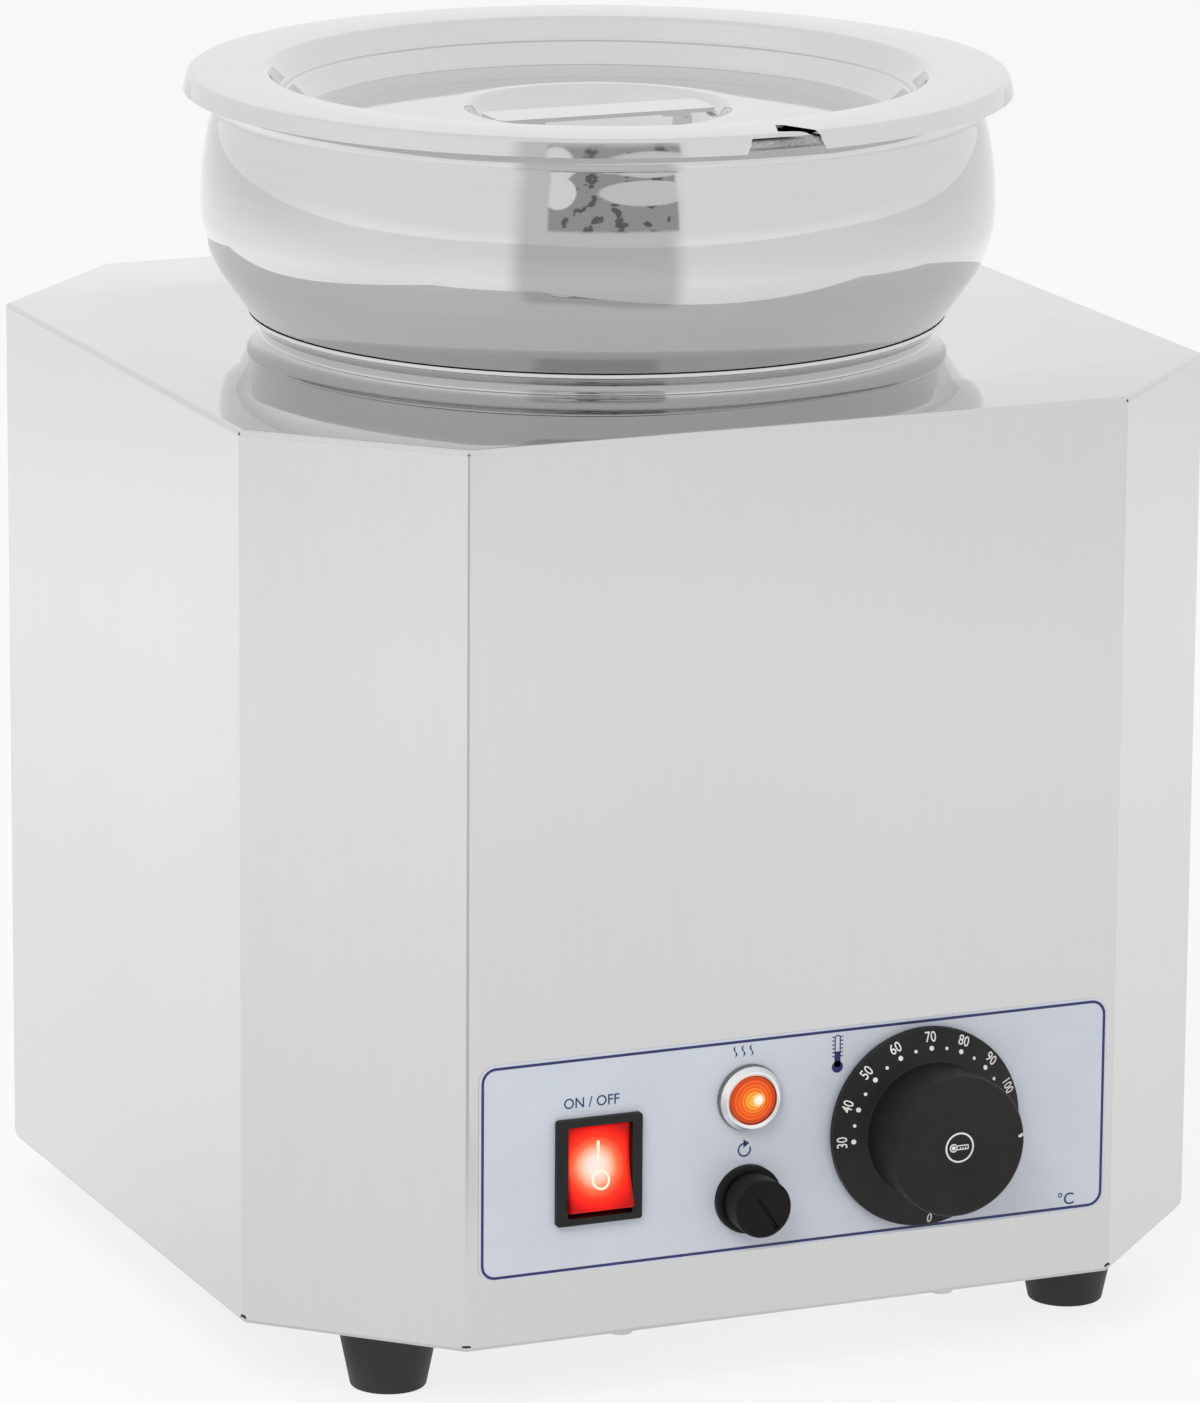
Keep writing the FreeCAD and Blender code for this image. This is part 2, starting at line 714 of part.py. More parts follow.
def make_rocker():
    y0 = STRIP + PIVOT_DEPTH
    z0 = FOOT_H + SWITCH_Z
    end = ROCKER_HALF_H
    out = ROCKER_END_OUT
    keel = ROCKER_KEEL
    section = [
        (-end, out), (0, ROCKER_MID_OUT), (end, out),
        (end, -ROCKER_SIDE), (end / 2, -keel), (-end / 2, -keel), (-end, -ROCKER_SIDE),
    ]
    left = SWITCH_X - ROCKER_W / 2
    points = [Vector(left, y0 - u, z0 + v) for v, u in section]
    edge = ROCKER_EDGE_R
    radii = [edge, ROCKER_FACE_R, edge, edge, ROCKER_KEEL_R, ROCKER_KEEL_R, edge]
    rocker = slab(points, radii, X_AXIS * ROCKER_W)
    pin_l = SWITCH_BODY_W - 2 * ROCKER_GAP
    pin = rod(PIVOT_R, pin_l, Vector(SWITCH_X - pin_l / 2, y0, z0), X_AXIS)
    rocker = rocker.fuse(pin)
    rocker.rotate(Vector(SWITCH_X, y0, z0), X_AXIS, -ROCKER_TILT)
    return rocker


def make_switch_terminals():
    blades = []
    start = STRIP + SWITCH_BODY_D
    for dx in (-TAB_X, TAB_X):
        for dz in (-TAB_Z, TAB_Z):
            x = SWITCH_X + dx
            z = SWITCH_Z + dz
            blades.append(strip_rect(x, z, TAB_T, TAB_W, 0.0, start, TAB_ROOT + TAB_L))
    return Part.Compound(blades)


# Indicator lamp

def make_indicator_ring():
    points = [
        (LENS_R + SCREW_GAP, 0),
        (LAMP_RING_R, 0),
        (LAMP_RING_R - LAMP_BAND_TAPER, LAMP_BAND_H),
        (LENS_R + LAMP_FACE_W, LAMP_RING_H),
        (LENS_R + SCREW_GAP, LAMP_RING_H - LAMP_FACE_SINK),
    ]
    radii = [0, LAMP_EDGE_R, LAMP_SHOULDER_R, LAMP_EDGE_R, 0]
    return turned(points, radii, at_strip(LAMP_X, LAMP_Z, OVERLAY_T), OUT)


def make_indicator_lens():
    crown = LAMP_RING_H
    ball_r = (LENS_R ** 2 + LENS_DOME ** 2) / (2 * LENS_DOME)
    seat = at_strip(LAMP_X, LAMP_Z, OVERLAY_T + LENS_SEAT)
    ball = Part.makeSphere(ball_r, at_strip(LAMP_X, LAMP_Z, OVERLAY_T + crown - ball_r))
    return rod(LENS_R, crown, seat, OUT).common(ball)


def make_indicator_body():
    points = [
        (0, LENS_SEAT), (LENS_R, LENS_SEAT), (LENS_R, 0), (LAMP_BODY_R, 0),
        (LAMP_BODY_R, -LAMP_BODY_D), (0, -LAMP_BODY_D),
    ]
    radii = [0, 0, 0, 0, LAMP_BODY_EDGE_R, 0]
    body = turned(points, radii, at_strip(LAMP_X, LAMP_Z, OVERLAY_T), OUT)
    end = FRONT - OVERLAY_T + LAMP_BODY_D
    for dx in (-LAMP_TAB_X, LAMP_TAB_X):
        tab = strip_rect(LAMP_X + dx, LAMP_Z, TAB_T, SLIM_TAB_W, 0.0, end - TAB_ROOT, TAB_ROOT + TAB_L)
        body = body.fuse(tab)
    return body


def make_indicator_nut():
    start = Vector(LAMP_X, FRONT_IN + LAMP_NUT_T, FOOT_H + LAMP_Z)
    nut = hexagon(LAMP_NUT_AF, LAMP_NUT_T, start, OUT)
    return nut.cut(rod(LAMP_BODY_R + SCREW_GAP, LAMP_NUT_T, start, OUT))


# Manual-reset cut-out

def make_cutout_body():
    back = FRONT_IN + CUTOUT_BODY_D
    body = strip_rect(RESET_X, RESET_Z, CUTOUT_BODY_W, CUTOUT_BODY_W, CUTOUT_CORNER_R,
                      FRONT_IN, CUTOUT_BODY_D)
    bushing = rod(BUSHING_R, BUSHING_OUT + SHEET, Vector(RESET_X, FRONT_IN, FOOT_H + RESET_Z), OUT)
    body = body.fuse(bushing)
    bore_l = BUSHING_OUT + SHEET + BUTTON_TAIL + BUTTON_TRAVEL + SEAT_GAP
    start = at_strip(RESET_X, RESET_Z, BUSHING_OUT)
    body = body.cut(rod(BUTTON_R + RUNNING_GAP, bore_l, start, Y_AXIS))
    for dx in (-CUTOUT_TAB_X, CUTOUT_TAB_X):
        tab = strip_rect(RESET_X + dx, RESET_Z, TAB_T, TAB_W, 0.0, back - TAB_ROOT, TAB_ROOT + TAB_L)
        body = body.fuse(tab)
    return body


def make_cutout_nut():
    points = [
        (BUSHING_R + RUNNING_GAP, 0), (RESET_NUT_R, 0),
        (RESET_NUT_R, RESET_NUT_T), (BUSHING_R + RUNNING_GAP, RESET_NUT_T),
    ]
    return turned(points, [0, 0, RESET_NUT_EDGE_R, 0], at_strip(RESET_X, RESET_Z, OVERLAY_T), OUT)


def make_reset_cap():
    start = OVERLAY_T + RESET_NUT_T + SEAT_GAP
    bore = BUSHING_R + RUNNING_GAP
    inner = CAP_OUT - CAP_END
    points = [
        (0, CAP_OUT), (CAP_R, CAP_OUT), (CAP_R, start), (bore, start), (bore, inner), (0, inner),
    ]
    cap = turned(points, [0, CAP_EDGE_R, CAP_FOOT_R, 0, 0, 0], at_strip(RESET_X, RESET_Z), OUT)
    half = CAP_SLOT_W / 2
    slot = box(-CAP_SLOT_BACK, CAP_SLOT_AHEAD, -CAP_OUT - CAP_SLOT_D, -CAP_OUT + CAP_SLOT_D, -half, half)
    slot.rotate(Vector(0, 0, 0), Y_AXIS, CAP_SLOT_TURN)
    slot.translate(Vector(RESET_X, FRONT, FOOT_H + RESET_Z))
    return cap.cut(slot)


def make_reset_button():
    length = BUTTON_OUT + SHEET + BUTTON_TAIL
    points = [(0, 0), (BUTTON_R, 0), (BUTTON_R, length), (0, length)]
    start = Vector(RESET_X, FRONT_IN + BUTTON_TAIL, FOOT_H + RESET_Z)
    return turned(points, [0, 0, BUTTON_EDGE_R, 0], start, OUT)


# Thermostat and dial

def make_thermostat_body():
    zc = FOOT_H + DIAL_Z
    centre = Vector(DIAL_X, FRONT_IN, zc)
    body = strip_rect(DIAL_X, DIAL_Z, THERMO_BODY_W, THERMO_BODY_W, THERMO_CORNER_R,
                      FRONT_IN, THERMO_BODY_D)
    cup = rod(THERMO_CUP_R, THERMO_CUP_D, centre + Y_AXIS * THERMO_BODY_D, Y_AXIS)
    rear = FRONT_IN + THERMO_BODY_D + THERMO_CUP_D
    rim = [e for e in cup.Edges if min(v.Y for v in e.Vertexes) > rear - SEAM]
    body = body.fuse(cup.makeFillet(THERMO_CUP_EDGE_R, rim))
    bushing = rod(THERMO_BUSHING_R, THERMO_BUSHING_OUT + SHEET, centre, OUT)
    body = body.fuse(bushing)
    bore_l = THERMO_BUSHING_OUT + SHEET + SHAFT_TAIL + SEAT_GAP
    body = body.cut(rod(SHAFT_R + RUNNING_GAP, bore_l, centre + OUT * (THERMO_BUSHING_OUT + SHEET), Y_AXIS))
    for side in (-1, 1):
        x = DIAL_X + side * THERMO_SCREW_SPAN / 2
        body = body.cut(rod(M4_R + SCREW_GAP, THERMO_HOLE_L, Vector(x, FRONT_IN, zc), Y_AXIS))
    tab_x = DIAL_X - THERMO_BODY_W / 2 + (TAB_ROOT - TAB_L) / 2
    tab_y = FRONT_IN + THERMO_BODY_D - THERMO_TAB_IN
    for dz in (-THERMO_TAB_Z, THERMO_TAB_Z):
        body = body.fuse(strip_rect(tab_x, DIAL_Z + dz, TAB_ROOT + TAB_L, TAB_T, 0.0, tab_y, TAB_W))
    return body


def make_thermostat_screws():
    heads = []
    for side in (-1, 1):
        x = DIAL_X + side * THERMO_SCREW_SPAN / 2
        seat = at_strip(x, DIAL_Z, OVERLAY_T)
        heads.append(screw(M4_R, THERMO_SCREW_L, M4_HEAD_R, M4_HEAD_H, seat, Y_AXIS))
    return Part.Compound(heads)


def make_thermostat_shaft():
    start = Vector(DIAL_X, FRONT_IN + SHAFT_TAIL, FOOT_H + DIAL_Z)
    shaft = rod(SHAFT_R, SHAFT_TAIL + SHEET + SHAFT_OUT, start, OUT)
    return shaft.cut(shaft_flat(0.0))


def shaft_flat(clear):
    """Cutter that leaves the flat on the shaft's outer part."""
    zc = FOOT_H + DIAL_Z + SHAFT_FLAT + clear
    return box(DIAL_X - SHAFT_R, DIAL_X + SHAFT_R, FRONT - KNOB_OUT, FRONT - BOSS_BACK, zc, zc + SHAFT_R)


def make_knob():
    wall = KNOB_WALL
    points = [
        (0, KNOB_OUT),
        (HUB_FACE_R, KNOB_OUT),
        (HUB_R, SKIRT_TOP),
        (SKIRT_R, SKIRT_EDGE),
        (SKIRT_R, SKIRT_BACK),
        (SKIRT_R - wall, SKIRT_BACK),
        (SKIRT_R - wall, SKIRT_EDGE - SKIRT_WALL),
        (HUB_R - wall, SKIRT_TOP - wall),
        (HUB_FACE_R - wall, KNOB_OUT - wall),
        (BOSS_R, KNOB_OUT - wall),
        (BOSS_R, BOSS_BACK),
        (0, BOSS_BACK),
    ]
    radii = [0, KNOB_EDGE_R, SKIRT_EDGE_R, SKIRT_EDGE_R, SKIRT_BACK_R] + [0] * 7
    knob = turned(points, radii, at_strip(DIAL_X, DIAL_Z), OUT)
    seat = at_strip(DIAL_X, DIAL_Z, BOSS_BACK)
    bore = rod(SHAFT_R + RUNNING_GAP, SHAFT_OUT + SEAT_GAP - BOSS_BACK, seat, OUT)
    knob = knob.cut(bore.cut(shaft_flat(RUNNING_GAP)))
    half = KNOB_NOTCH_W / 2
    notch = box(HUB_FACE_R - KNOB_NOTCH_L, HUB_FACE_R + wall, -KNOB_OUT - wall, -KNOB_OUT + KNOB_NOTCH_D,
                -half, half)
    notch.rotate(Vector(0, 0, 0), Y_AXIS, KNOB_NOTCH_TURN)
    notch.translate(Vector(DIAL_X, FRONT, FOOT_H + DIAL_Z))
    return knob.cut(notch)


# Heating and sensing under the tank

def make_heating_element():
    z = PLATE_BASE - SCREW_GAP - TUBE_R
    gap = math.radians(RING_OPEN / 2)
    edges = []
    half_x = RING_R * math.sin(gap)
    y = RING_R * math.cos(gap)
    ring = Part.Arc(Vector(-half_x, y, z), Vector(0, -RING_R, z), Vector(half_x, y, z)).toShape()
    for side in (-1, 1):
        joint = Vector(side * half_x, y, z)
        heading = Vector(-side * math.cos(gap), math.sin(gap), 0)
        centre = joint - UP * LEG_BEND
        low = centre + heading * LEG_BEND
        middle = centre + (heading + UP).normalize() * LEG_BEND
        bend = Part.Arc(joint, middle, low).toShape()
        leg = Part.LineSegment(low, low - UP * LEG_DROP).toShape()
        edges.append([bend, leg, low - UP * LEG_DROP])
    left, right = edges
    path = Part.Wire([left[1], left[0], ring, right[0], right[1]])
    start = Part.makeCircle(TUBE_R, left[2], UP)
    return path.makePipeShell([Part.Wire([start])], True, False)


def make_heater_plate():
    plate = rod(PLATE_R, PLATE_T, Vector(0, 0, PLATE_BASE))
    low = [e for e in plate.Edges if max(v.Z for v in e.Vertexes) < PLATE_BASE + SEAM]
    return plate.makeFillet(PLATE_EDGE_R, low)


def clamp_top():
    return PLATE_BASE - 2 * TUBE_R - 2 * SCREW_GAP


def make_heater_clamp():
    top = clamp_top()
    bar = [Vector(sx * CLAMP_L / 2, sy * CLAMP_W / 2, top - CLAMP_T)
           for sx, sy in [(-1, -1), (1, -1), (1, 1), (-1, 1)]]
    clamp = slab(bar, CLAMP_CORNER_R, UP * CLAMP_T)
    return clamp.cut(rod(STUD_R + SCREW_GAP, CLAMP_T, Vector(0, 0, top - CLAMP_T)))


def make_clamp_stud():
    return rod(STUD_R, STUD_L, Vector(0, 0, PLATE_BASE - STUD_L))


def make_clamp_nut():
    start = Vector(0, 0, clamp_top() - CLAMP_T - STUD_NUT_T)
    return hexagon(STUD_NUT_AF, STUD_NUT_T, start).cut(rod(STUD_R + RUNNING_GAP, STUD_NUT_T, start))


def bulb(start, direction):
    points = [(0, 0), (BULB_R, 0), (BULB_R, BULB_L), (0, BULB_L)]
    return turned(points, [0, BULB_EDGE_R, BULB_EDGE_R, 0], start, direction)


def bulb_z():
    return TANK_BASE - BULB_R - SCREW_GAP


def make_bulb_clips():
    """Spring straps that hold each sensing bulb up against the tank."""
    z = bulb_z()
    arch = BULB_R + SCREW_GAP
    foot_z = TANK_BASE - CLIP_T
    outer = arch + CLIP_T
    reach = outer + CLIP_FOOT
    section = [
        (-reach, TANK_BASE), (-reach, foot_z), (-outer, foot_z), (-outer, z - outer),
        (outer, z - outer), (outer, foot_z), (reach, foot_z), (reach, TANK_BASE),
        (arch, TANK_BASE), (arch, z - arch), (-arch, z - arch), (-arch, TANK_BASE),
    ]
    radii = [0, 0, 0, arch, arch, 0, 0, 0, 0, BULB_R - SCREW_GAP, BULB_R - SCREW_GAP, 0]
    front = slab([Vector(-CLIP_W / 2, -BULB_OFFSET + v, h) for v, h in section], radii, X_AXIS * CLIP_W)
    side = slab([Vector(-BULB_OFFSET + v, -CLIP_W / 2, h) for v, h in section], radii, Y_AXIS * CLIP_W)
    return Part.Compound([front, side])


def make_thermostat_capillary():
    z = bulb_z()
    end_x = BULB_L / 2
    rear = FRONT_IN + THERMO_BODY_D + THERMO_CUP_D
    zc = FOOT_H + DIAL_Z
    points = [
        Vector(end_x, -BULB_OFFSET, z),
        Vector(end_x + THERMO_LINE_RUN, -BULB_OFFSET, z),
        Vector(end_x + THERMO_LINE_RUN, -BULB_OFFSET, z - THERMO_LINE_DROP),
        Vector(DIAL_X, -BULB_OFFSET, zc),
        Vector(DIAL_X, rear, zc),
    ]
    return pipe(points, CAPILLARY_BEND, CAPILLARY_R)


def make_cutout_capillary():
    z = bulb_z()
    end_y = -BULB_L / 2
    rear = FRONT_IN + CUTOUT_BODY_D
    zc = FOOT_H + RESET_Z
    points = [
        Vector(-BULB_OFFSET, end_y, z),
        Vector(-BULB_OFFSET, end_y - CUTOUT_LINE_RUN, z),
        Vector(-BULB_OFFSET, end_y - CUTOUT_LINE_RUN, z - CUTOUT_LINE_DROP),
        Vector(RESET_X, rear + CUTOUT_LINE_OUT, zc),
        Vector(RESET_X, rear, zc),
    ]
    return pipe(points, CAPILLARY_BEND, CAPILLARY_R)


# Feet, fasteners and mains entry

def make_foot(x, y):
    hole = M5_R + SCREW_GAP
    tread = FOOT_R - FOOT_TREAD
    groove = FOOT_GROOVE
    points = [
        (hole, FOOT_H), (FOOT_TOP_R, FOOT_H), (FOOT_R, 0), (tread, 0), (tread - FOOT_GROOVE_TAPER, groove),
        (FOOT_POCKET_R + groove, groove), (FOOT_POCKET_R, 0), (FOOT_POCKET_R, FOOT_POCKET_H),
        (hole, FOOT_POCKET_H),
    ]
    return turned(points, [0, FOOT_EDGE_R, FOOT_EDGE_R, 0, 0, 0, 0, 0, 0], Vector(x, y, 0))


def make_foot_screws():
    length = FOOT_H - FOOT_POCKET_H + SHEET + M5_NUT_T + M5_END
    return Part.Compound([
        screw(M5_R, length, M5_HEAD_R, M5_HEAD_H, Vector(x, y, FOOT_POCKET_H), UP)
        for x, y in foot_places()
    ])


def nut(x, y, z):
    block = hexagon(M5_AF, M5_NUT_T, Vector(x, y, z))
    return block.cut(rod(M5_R + RUNNING_GAP, M5_NUT_T, Vector(x, y, z)))


def make_foot_nuts():
    return Part.Compound([nut(x, y, BASE_TOP) for x, y in foot_places()])


def make_base_screws():
    return Part.Compound([
        screw(M4_R, BASE_SCREW_L, M4_HEAD_R, M4_HEAD_H, Vector(x, y, FOOT_H), UP)
        for x, y in edge_screw_places()
    ])


def gland_point(y):
    return Vector(GLAND_X, y, FOOT_H + GLAND_Z)


def make_cable_gland():
    thread = rod(GLAND_THREAD_R, GLAND_INSIDE + SHEET, gland_point(BACK - SHEET - GLAND_INSIDE), Y_AXIS)
    collar = hexagon(GLAND_AF, GLAND_HEX_T, gland_point(BACK), Y_AXIS)
    spigot = rod(GLAND_NECK_R, GLAND_HEX_T, gland_point(BACK + GLAND_HEX_T), Y_AXIS)
    body = thread.fuse(collar).fuse(spigot)
    bore = rod(GLAND_BORE_R, BODY_D / 2, gland_point(BACK - 2 * GLAND_INSIDE), Y_AXIS)
    return body.cut(bore)


def make_gland_cap():
    """Ribbed cap nut; it stands out as far as the dial does at the front."""
    start = BACK + GLAND_HEX_T + SCREW_GAP
    length = GLAND_OUT - GLAND_HEX_T - SCREW_GAP
    edge = GLAND_AF / 2 - GLAND_CAP_EASE
    pocket = GLAND_NECK_R + SCREW_GAP
    deep = GLAND_HEX_T + SCREW_GAP
    points = [
        (pocket, 0), (edge, 0), (edge, GLAND_CAP_H), (GLAND_BORE_R + GLAND_MOUTH_W, length),
        (GLAND_BORE_R, length), (GLAND_BORE_R, deep), (pocket, deep),
    ]
    radii = [0, GLAND_EDGE_R, GLAND_CAP_BEND, GLAND_MOUTH_R, 0, 0, 0]
    cap = turned(points, radii, gland_point(start), Y_AXIS)
    for i in range(GLAND_RIBS):
        angle = 2 * math.pi * i / GLAND_RIBS
        offset = Vector(math.cos(angle), 0, math.sin(angle)) * (edge + GLAND_RIB_OUT)
        cap = cap.cut(rod(GLAND_RIB_R, GLAND_RIB_L, gland_point(start) + offset, Y_AXIS))
    return cap


def make_gland_locknut():
    start = gland_point(BACK - SHEET - LOCKNUT_T)
    block = hexagon(LOCKNUT_AF, LOCKNUT_T, start, Y_AXIS)
    return block.cut(rod(GLAND_THREAD_R + RUNNING_GAP, LOCKNUT_T, start, Y_AXIS))


def terminal_places():
    pitch = BLOCK_L / 3
    return [BLOCK_X + (i - 1) * pitch for i in range(3)]


def make_terminal_block():
    front = BLOCK_Y - BLOCK_W / 2
    rear = BLOCK_Y + BLOCK_W / 2
    top = BASE_TOP + BLOCK_H
    block = box(BLOCK_X - BLOCK_L / 2, BLOCK_X + BLOCK_L / 2, front, rear, BASE_TOP, top)
    wire_z = BASE_TOP + BLOCK_WIRE_Z
    for x in terminal_places():
        block = block.cut(rod(BLOCK_WIRE_R, BLOCK_W, Vector(x, front, wire_z), Y_AXIS))
        for dy in (-BLOCK_W / 4, BLOCK_W / 4):
            block = block.cut(rod(M4_R + SCREW_GAP, BLOCK_H, Vector(x, BLOCK_Y + dy, wire_z)))
    half = BLOCK_GROOVE_W / 2
    for x in terminal_places()[:2]:
        groove = x + BLOCK_L / 6
        block = block.cut(box(groove - half, groove + half, front, rear, top - BLOCK_GROOVE_D, top))
    return block


def make_terminal_screws():
    low = BASE_TOP + BLOCK_WIRE_Z + BLOCK_SCREW_LIFT
    return Part.Compound([
        rod(M4_R, BLOCK_SCREW_L, Vector(x, BLOCK_Y + dy, low))
        for x in terminal_places() for dy in (-BLOCK_W / 4, BLOCK_W / 4)
    ])


def make_earth_stud():
    return rod(M5_R, EARTH_H, Vector(EARTH_X, EARTH_Y, BASE_TOP))


PIECES = {
    "deck": make_deck,
    "housing_wrap": make_wrap,
    "front_panel": make_front_panel,
    "base_plate": make_base_plate,
    "water_tank": make_tank,
    "control_overlay": make_overlay,
    "pot": make_pot,
    "lid_pan": make_lid,
    "lid_handle": make_lid_handle,
    "switch_housing": make_switch_housing,
    "rocker": make_rocker,
    "switch_terminals": make_switch_terminals,
    "indicator_ring": make_indicator_ring,
    "indicator_lens": make_indicator_lens,
    "indicator_body": make_indicator_body,
    "indicator_nut": make_indicator_nut,
    "cutout_body": make_cutout_body,
    "cutout_nut": make_cutout_nut,
    "reset_cap": make_reset_cap,
    "reset_button": make_reset_button,
    "thermostat_body": make_thermostat_body,
    "thermostat_screws": make_thermostat_screws,
    "thermostat_shaft": make_thermostat_shaft,
    "knob": make_knob,
    "heater_plate": make_heater_plate,
    "heating_element": make_heating_element,
    "heater_clamp": make_heater_clamp,
    "clamp_stud": make_clamp_stud,
    "clamp_nut": make_clamp_nut,
    "thermostat_bulb": lambda: bulb(Vector(-BULB_L / 2, -BULB_OFFSET, bulb_z()), X_AXIS),
    "cutout_bulb": lambda: bulb(Vector(-BULB_OFFSET, -BULB_L / 2, bulb_z()), Y_AXIS),
    "bulb_clips": make_bulb_clips,
    "thermostat_capillary": make_thermostat_capillary,
    "cutout_capillary": make_cutout_capillary,
    "foot_screws": make_foot_screws,
    "foot_nuts": make_foot_nuts,
    "base_screws": make_base_screws,
    "cable_gland": make_cable_gland,
    "gland_cap": make_gland_cap,
    "gland_locknut": make_gland_locknut,
    "terminal_block": make_terminal_block,
    "terminal_screws": make_terminal_screws,
    "earth_stud": make_earth_stud,
    "earth_nut": lambda: nut(EARTH_X, EARTH_Y, BASE_TOP),
}
FOOT_NAMES = ["foot_front_left", "foot_front_right", "foot_rear_left", "foot_rear_right"]

os.makedirs("parts", exist_ok=True)
for name, build in PIECES.items():
    build().exportStep(f"parts/{name}.step")
for name, (foot_x, foot_y) in zip(FOOT_NAMES, foot_places()):
    make_foot(foot_x, foot_y).exportStep(f"parts/{name}.step")
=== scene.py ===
import math

import bmesh
import bpy
from mathutils import Matrix, Vector


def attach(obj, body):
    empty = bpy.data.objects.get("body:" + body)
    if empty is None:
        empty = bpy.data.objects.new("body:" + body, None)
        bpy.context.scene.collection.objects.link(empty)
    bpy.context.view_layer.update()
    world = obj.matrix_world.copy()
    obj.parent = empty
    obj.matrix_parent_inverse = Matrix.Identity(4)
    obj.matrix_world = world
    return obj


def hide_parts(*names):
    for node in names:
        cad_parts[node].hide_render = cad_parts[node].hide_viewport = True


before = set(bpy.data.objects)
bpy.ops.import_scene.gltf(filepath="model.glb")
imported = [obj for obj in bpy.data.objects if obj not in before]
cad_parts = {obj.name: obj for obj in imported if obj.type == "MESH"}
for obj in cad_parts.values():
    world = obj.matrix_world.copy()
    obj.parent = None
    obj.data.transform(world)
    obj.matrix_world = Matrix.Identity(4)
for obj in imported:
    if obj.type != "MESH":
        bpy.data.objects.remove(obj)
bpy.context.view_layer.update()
bpy.ops.object.select_all(action="DESELECT")

# Sizes are in millimetres, as in the part's source, and pieces are scaled to metres once built.
# The names ending in _R are radii from the part's upright axis, or from the dial's for its prints.
# Those ending in _Z are heights.
MM = 0.001
TURN = 2 * math.pi
HALF_W = 150.0
HALF_D = 147.5
CORNER_LEG = 49.0
FRONT = -HALF_D
FILM = FRONT - 0.25
DECK_Z = 281.0
SHEET = 1.0
WELL_EDGE_R = 112.9
WAIST_R = 99.5
LIP_R = 103.4
LIP_Z = 287.5

POT_BASE = 156.0
POT_T = 0.9
CURL_R = 118.2
CURL_TUBE = 1.75
CURL_Z = 355.1
LID_TOP = 358.2
LID_R = 120.3
SKIRT_R = 121.7

FILM_BOX = (-97.5, 98.7, 41.0, 104.5)
SWITCH = (-61.3, 70.9)
BEZEL = (26.0, 31.0)
BEZEL_T = 2.2
SWITCH_WELL = (19.9, 26.9)
LAMP = (-14.7, 86.7)
DIAL = (39.6, 72.9)
KNOB_OUT = 26.0
SKIRT_OUT = 7.2
SKIRT_FALL = 3.0
SKIRT_IN = 20.0
SKIRT_RUN = 9.4
INK_T = 0.05
CAPITAL_SHARE = 0.72

ROUND_STEPS = 144
CORNER_STEPS = 5
SMOOTH_ANGLE = math.radians(35)
TOUCH = 1e-4
SEAM = 1e-3

# Depth in metres of the relief that the materials draw.
RELIEF = 0.0002


# Modelling

def deselect():
    bpy.ops.object.select_all(action="DESELECT")


def select_only(piece):
    deselect()
    piece.select_set(True)
    bpy.context.view_layer.objects.active = piece


def smooth(piece):
    select_only(piece)
    bpy.ops.object.shade_smooth_by_angle(angle=SMOOTH_ANGLE)
    piece.select_set(False)
    return piece


def to_metres(piece):
    piece.data.transform(Matrix.Scale(MM, 4))
    return piece


def enter_edit():
    bpy.ops.object.mode_set(mode="EDIT")
    bpy.ops.mesh.select_all(action="SELECT")


def leave_edit():
    bpy.ops.object.mode_set(mode="OBJECT")


def finish_piece(piece):
    """Leaves edit mode, brings the piece to metres and shades its round faces smooth."""
    if piece.mode == "EDIT":
        leave_edit()
    return smooth(to_metres(piece))


def new_point(name, place):
    """A new piece that is one point, in edit mode."""
    deselect()
    bpy.ops.mesh.primitive_plane_add(size=1.0, location=(0, 0, 0))
    piece = bpy.context.object
    piece.name = piece.data.name = name
    enter_edit()
    bpy.ops.mesh.merge(type="CENTER")
    bpy.ops.transform.translate(value=place)
    return piece


def pick(piece, test):
    """Selects the vertices that pass the test, in edit mode."""
    mesh = bmesh.from_edit_mesh(piece.data)
    bpy.ops.mesh.select_all(action="DESELECT")
    bpy.context.tool_settings.mesh_select_mode = (True, False, False)
    for vertex in mesh.verts:
        if test(vertex.co):
            vertex.select = True
    mesh.select_flush_mode()
    bmesh.update_edit_mesh(piece.data)


def corner_reach(before, here, after, radius):
    """How far from a corner a rounding of that radius begins."""
    half = (before - here).angle(after - here) / 2
    return radius / math.tan(half)


def draw_line(name, points, rounds, closed=False, steps=CORNER_STEPS):
    """Line through the points with its corners rounded, left in edit mode."""
    points = [Vector(p) for p in points]
    piece = new_point(name, points[0])
    for here, there in zip(points, points[1:]):
        bpy.ops.mesh.extrude_region_move(TRANSFORM_OT_translate={"value": there - here})
    if closed:
        bpy.ops.mesh.extrude_region_move(TRANSFORM_OT_translate={"value": points[0] - points[-1]})
        bpy.ops.mesh.select_all(action="SELECT")
        bpy.ops.mesh.remove_doubles(threshold=TOUCH)
    count = len(points)
    for i, radius in enumerate(rounds):
        if radius <= 0:
            continue
        here = points[i]
        reach = corner_reach(points[i - 1], here, points[(i + 1) % count], radius)
        pick(piece, lambda co: (co - here).length < TOUCH)
        bpy.ops.mesh.bevel(offset=reach, segments=steps, affect="VERTICES", clamp_overlap=False)
    return piece


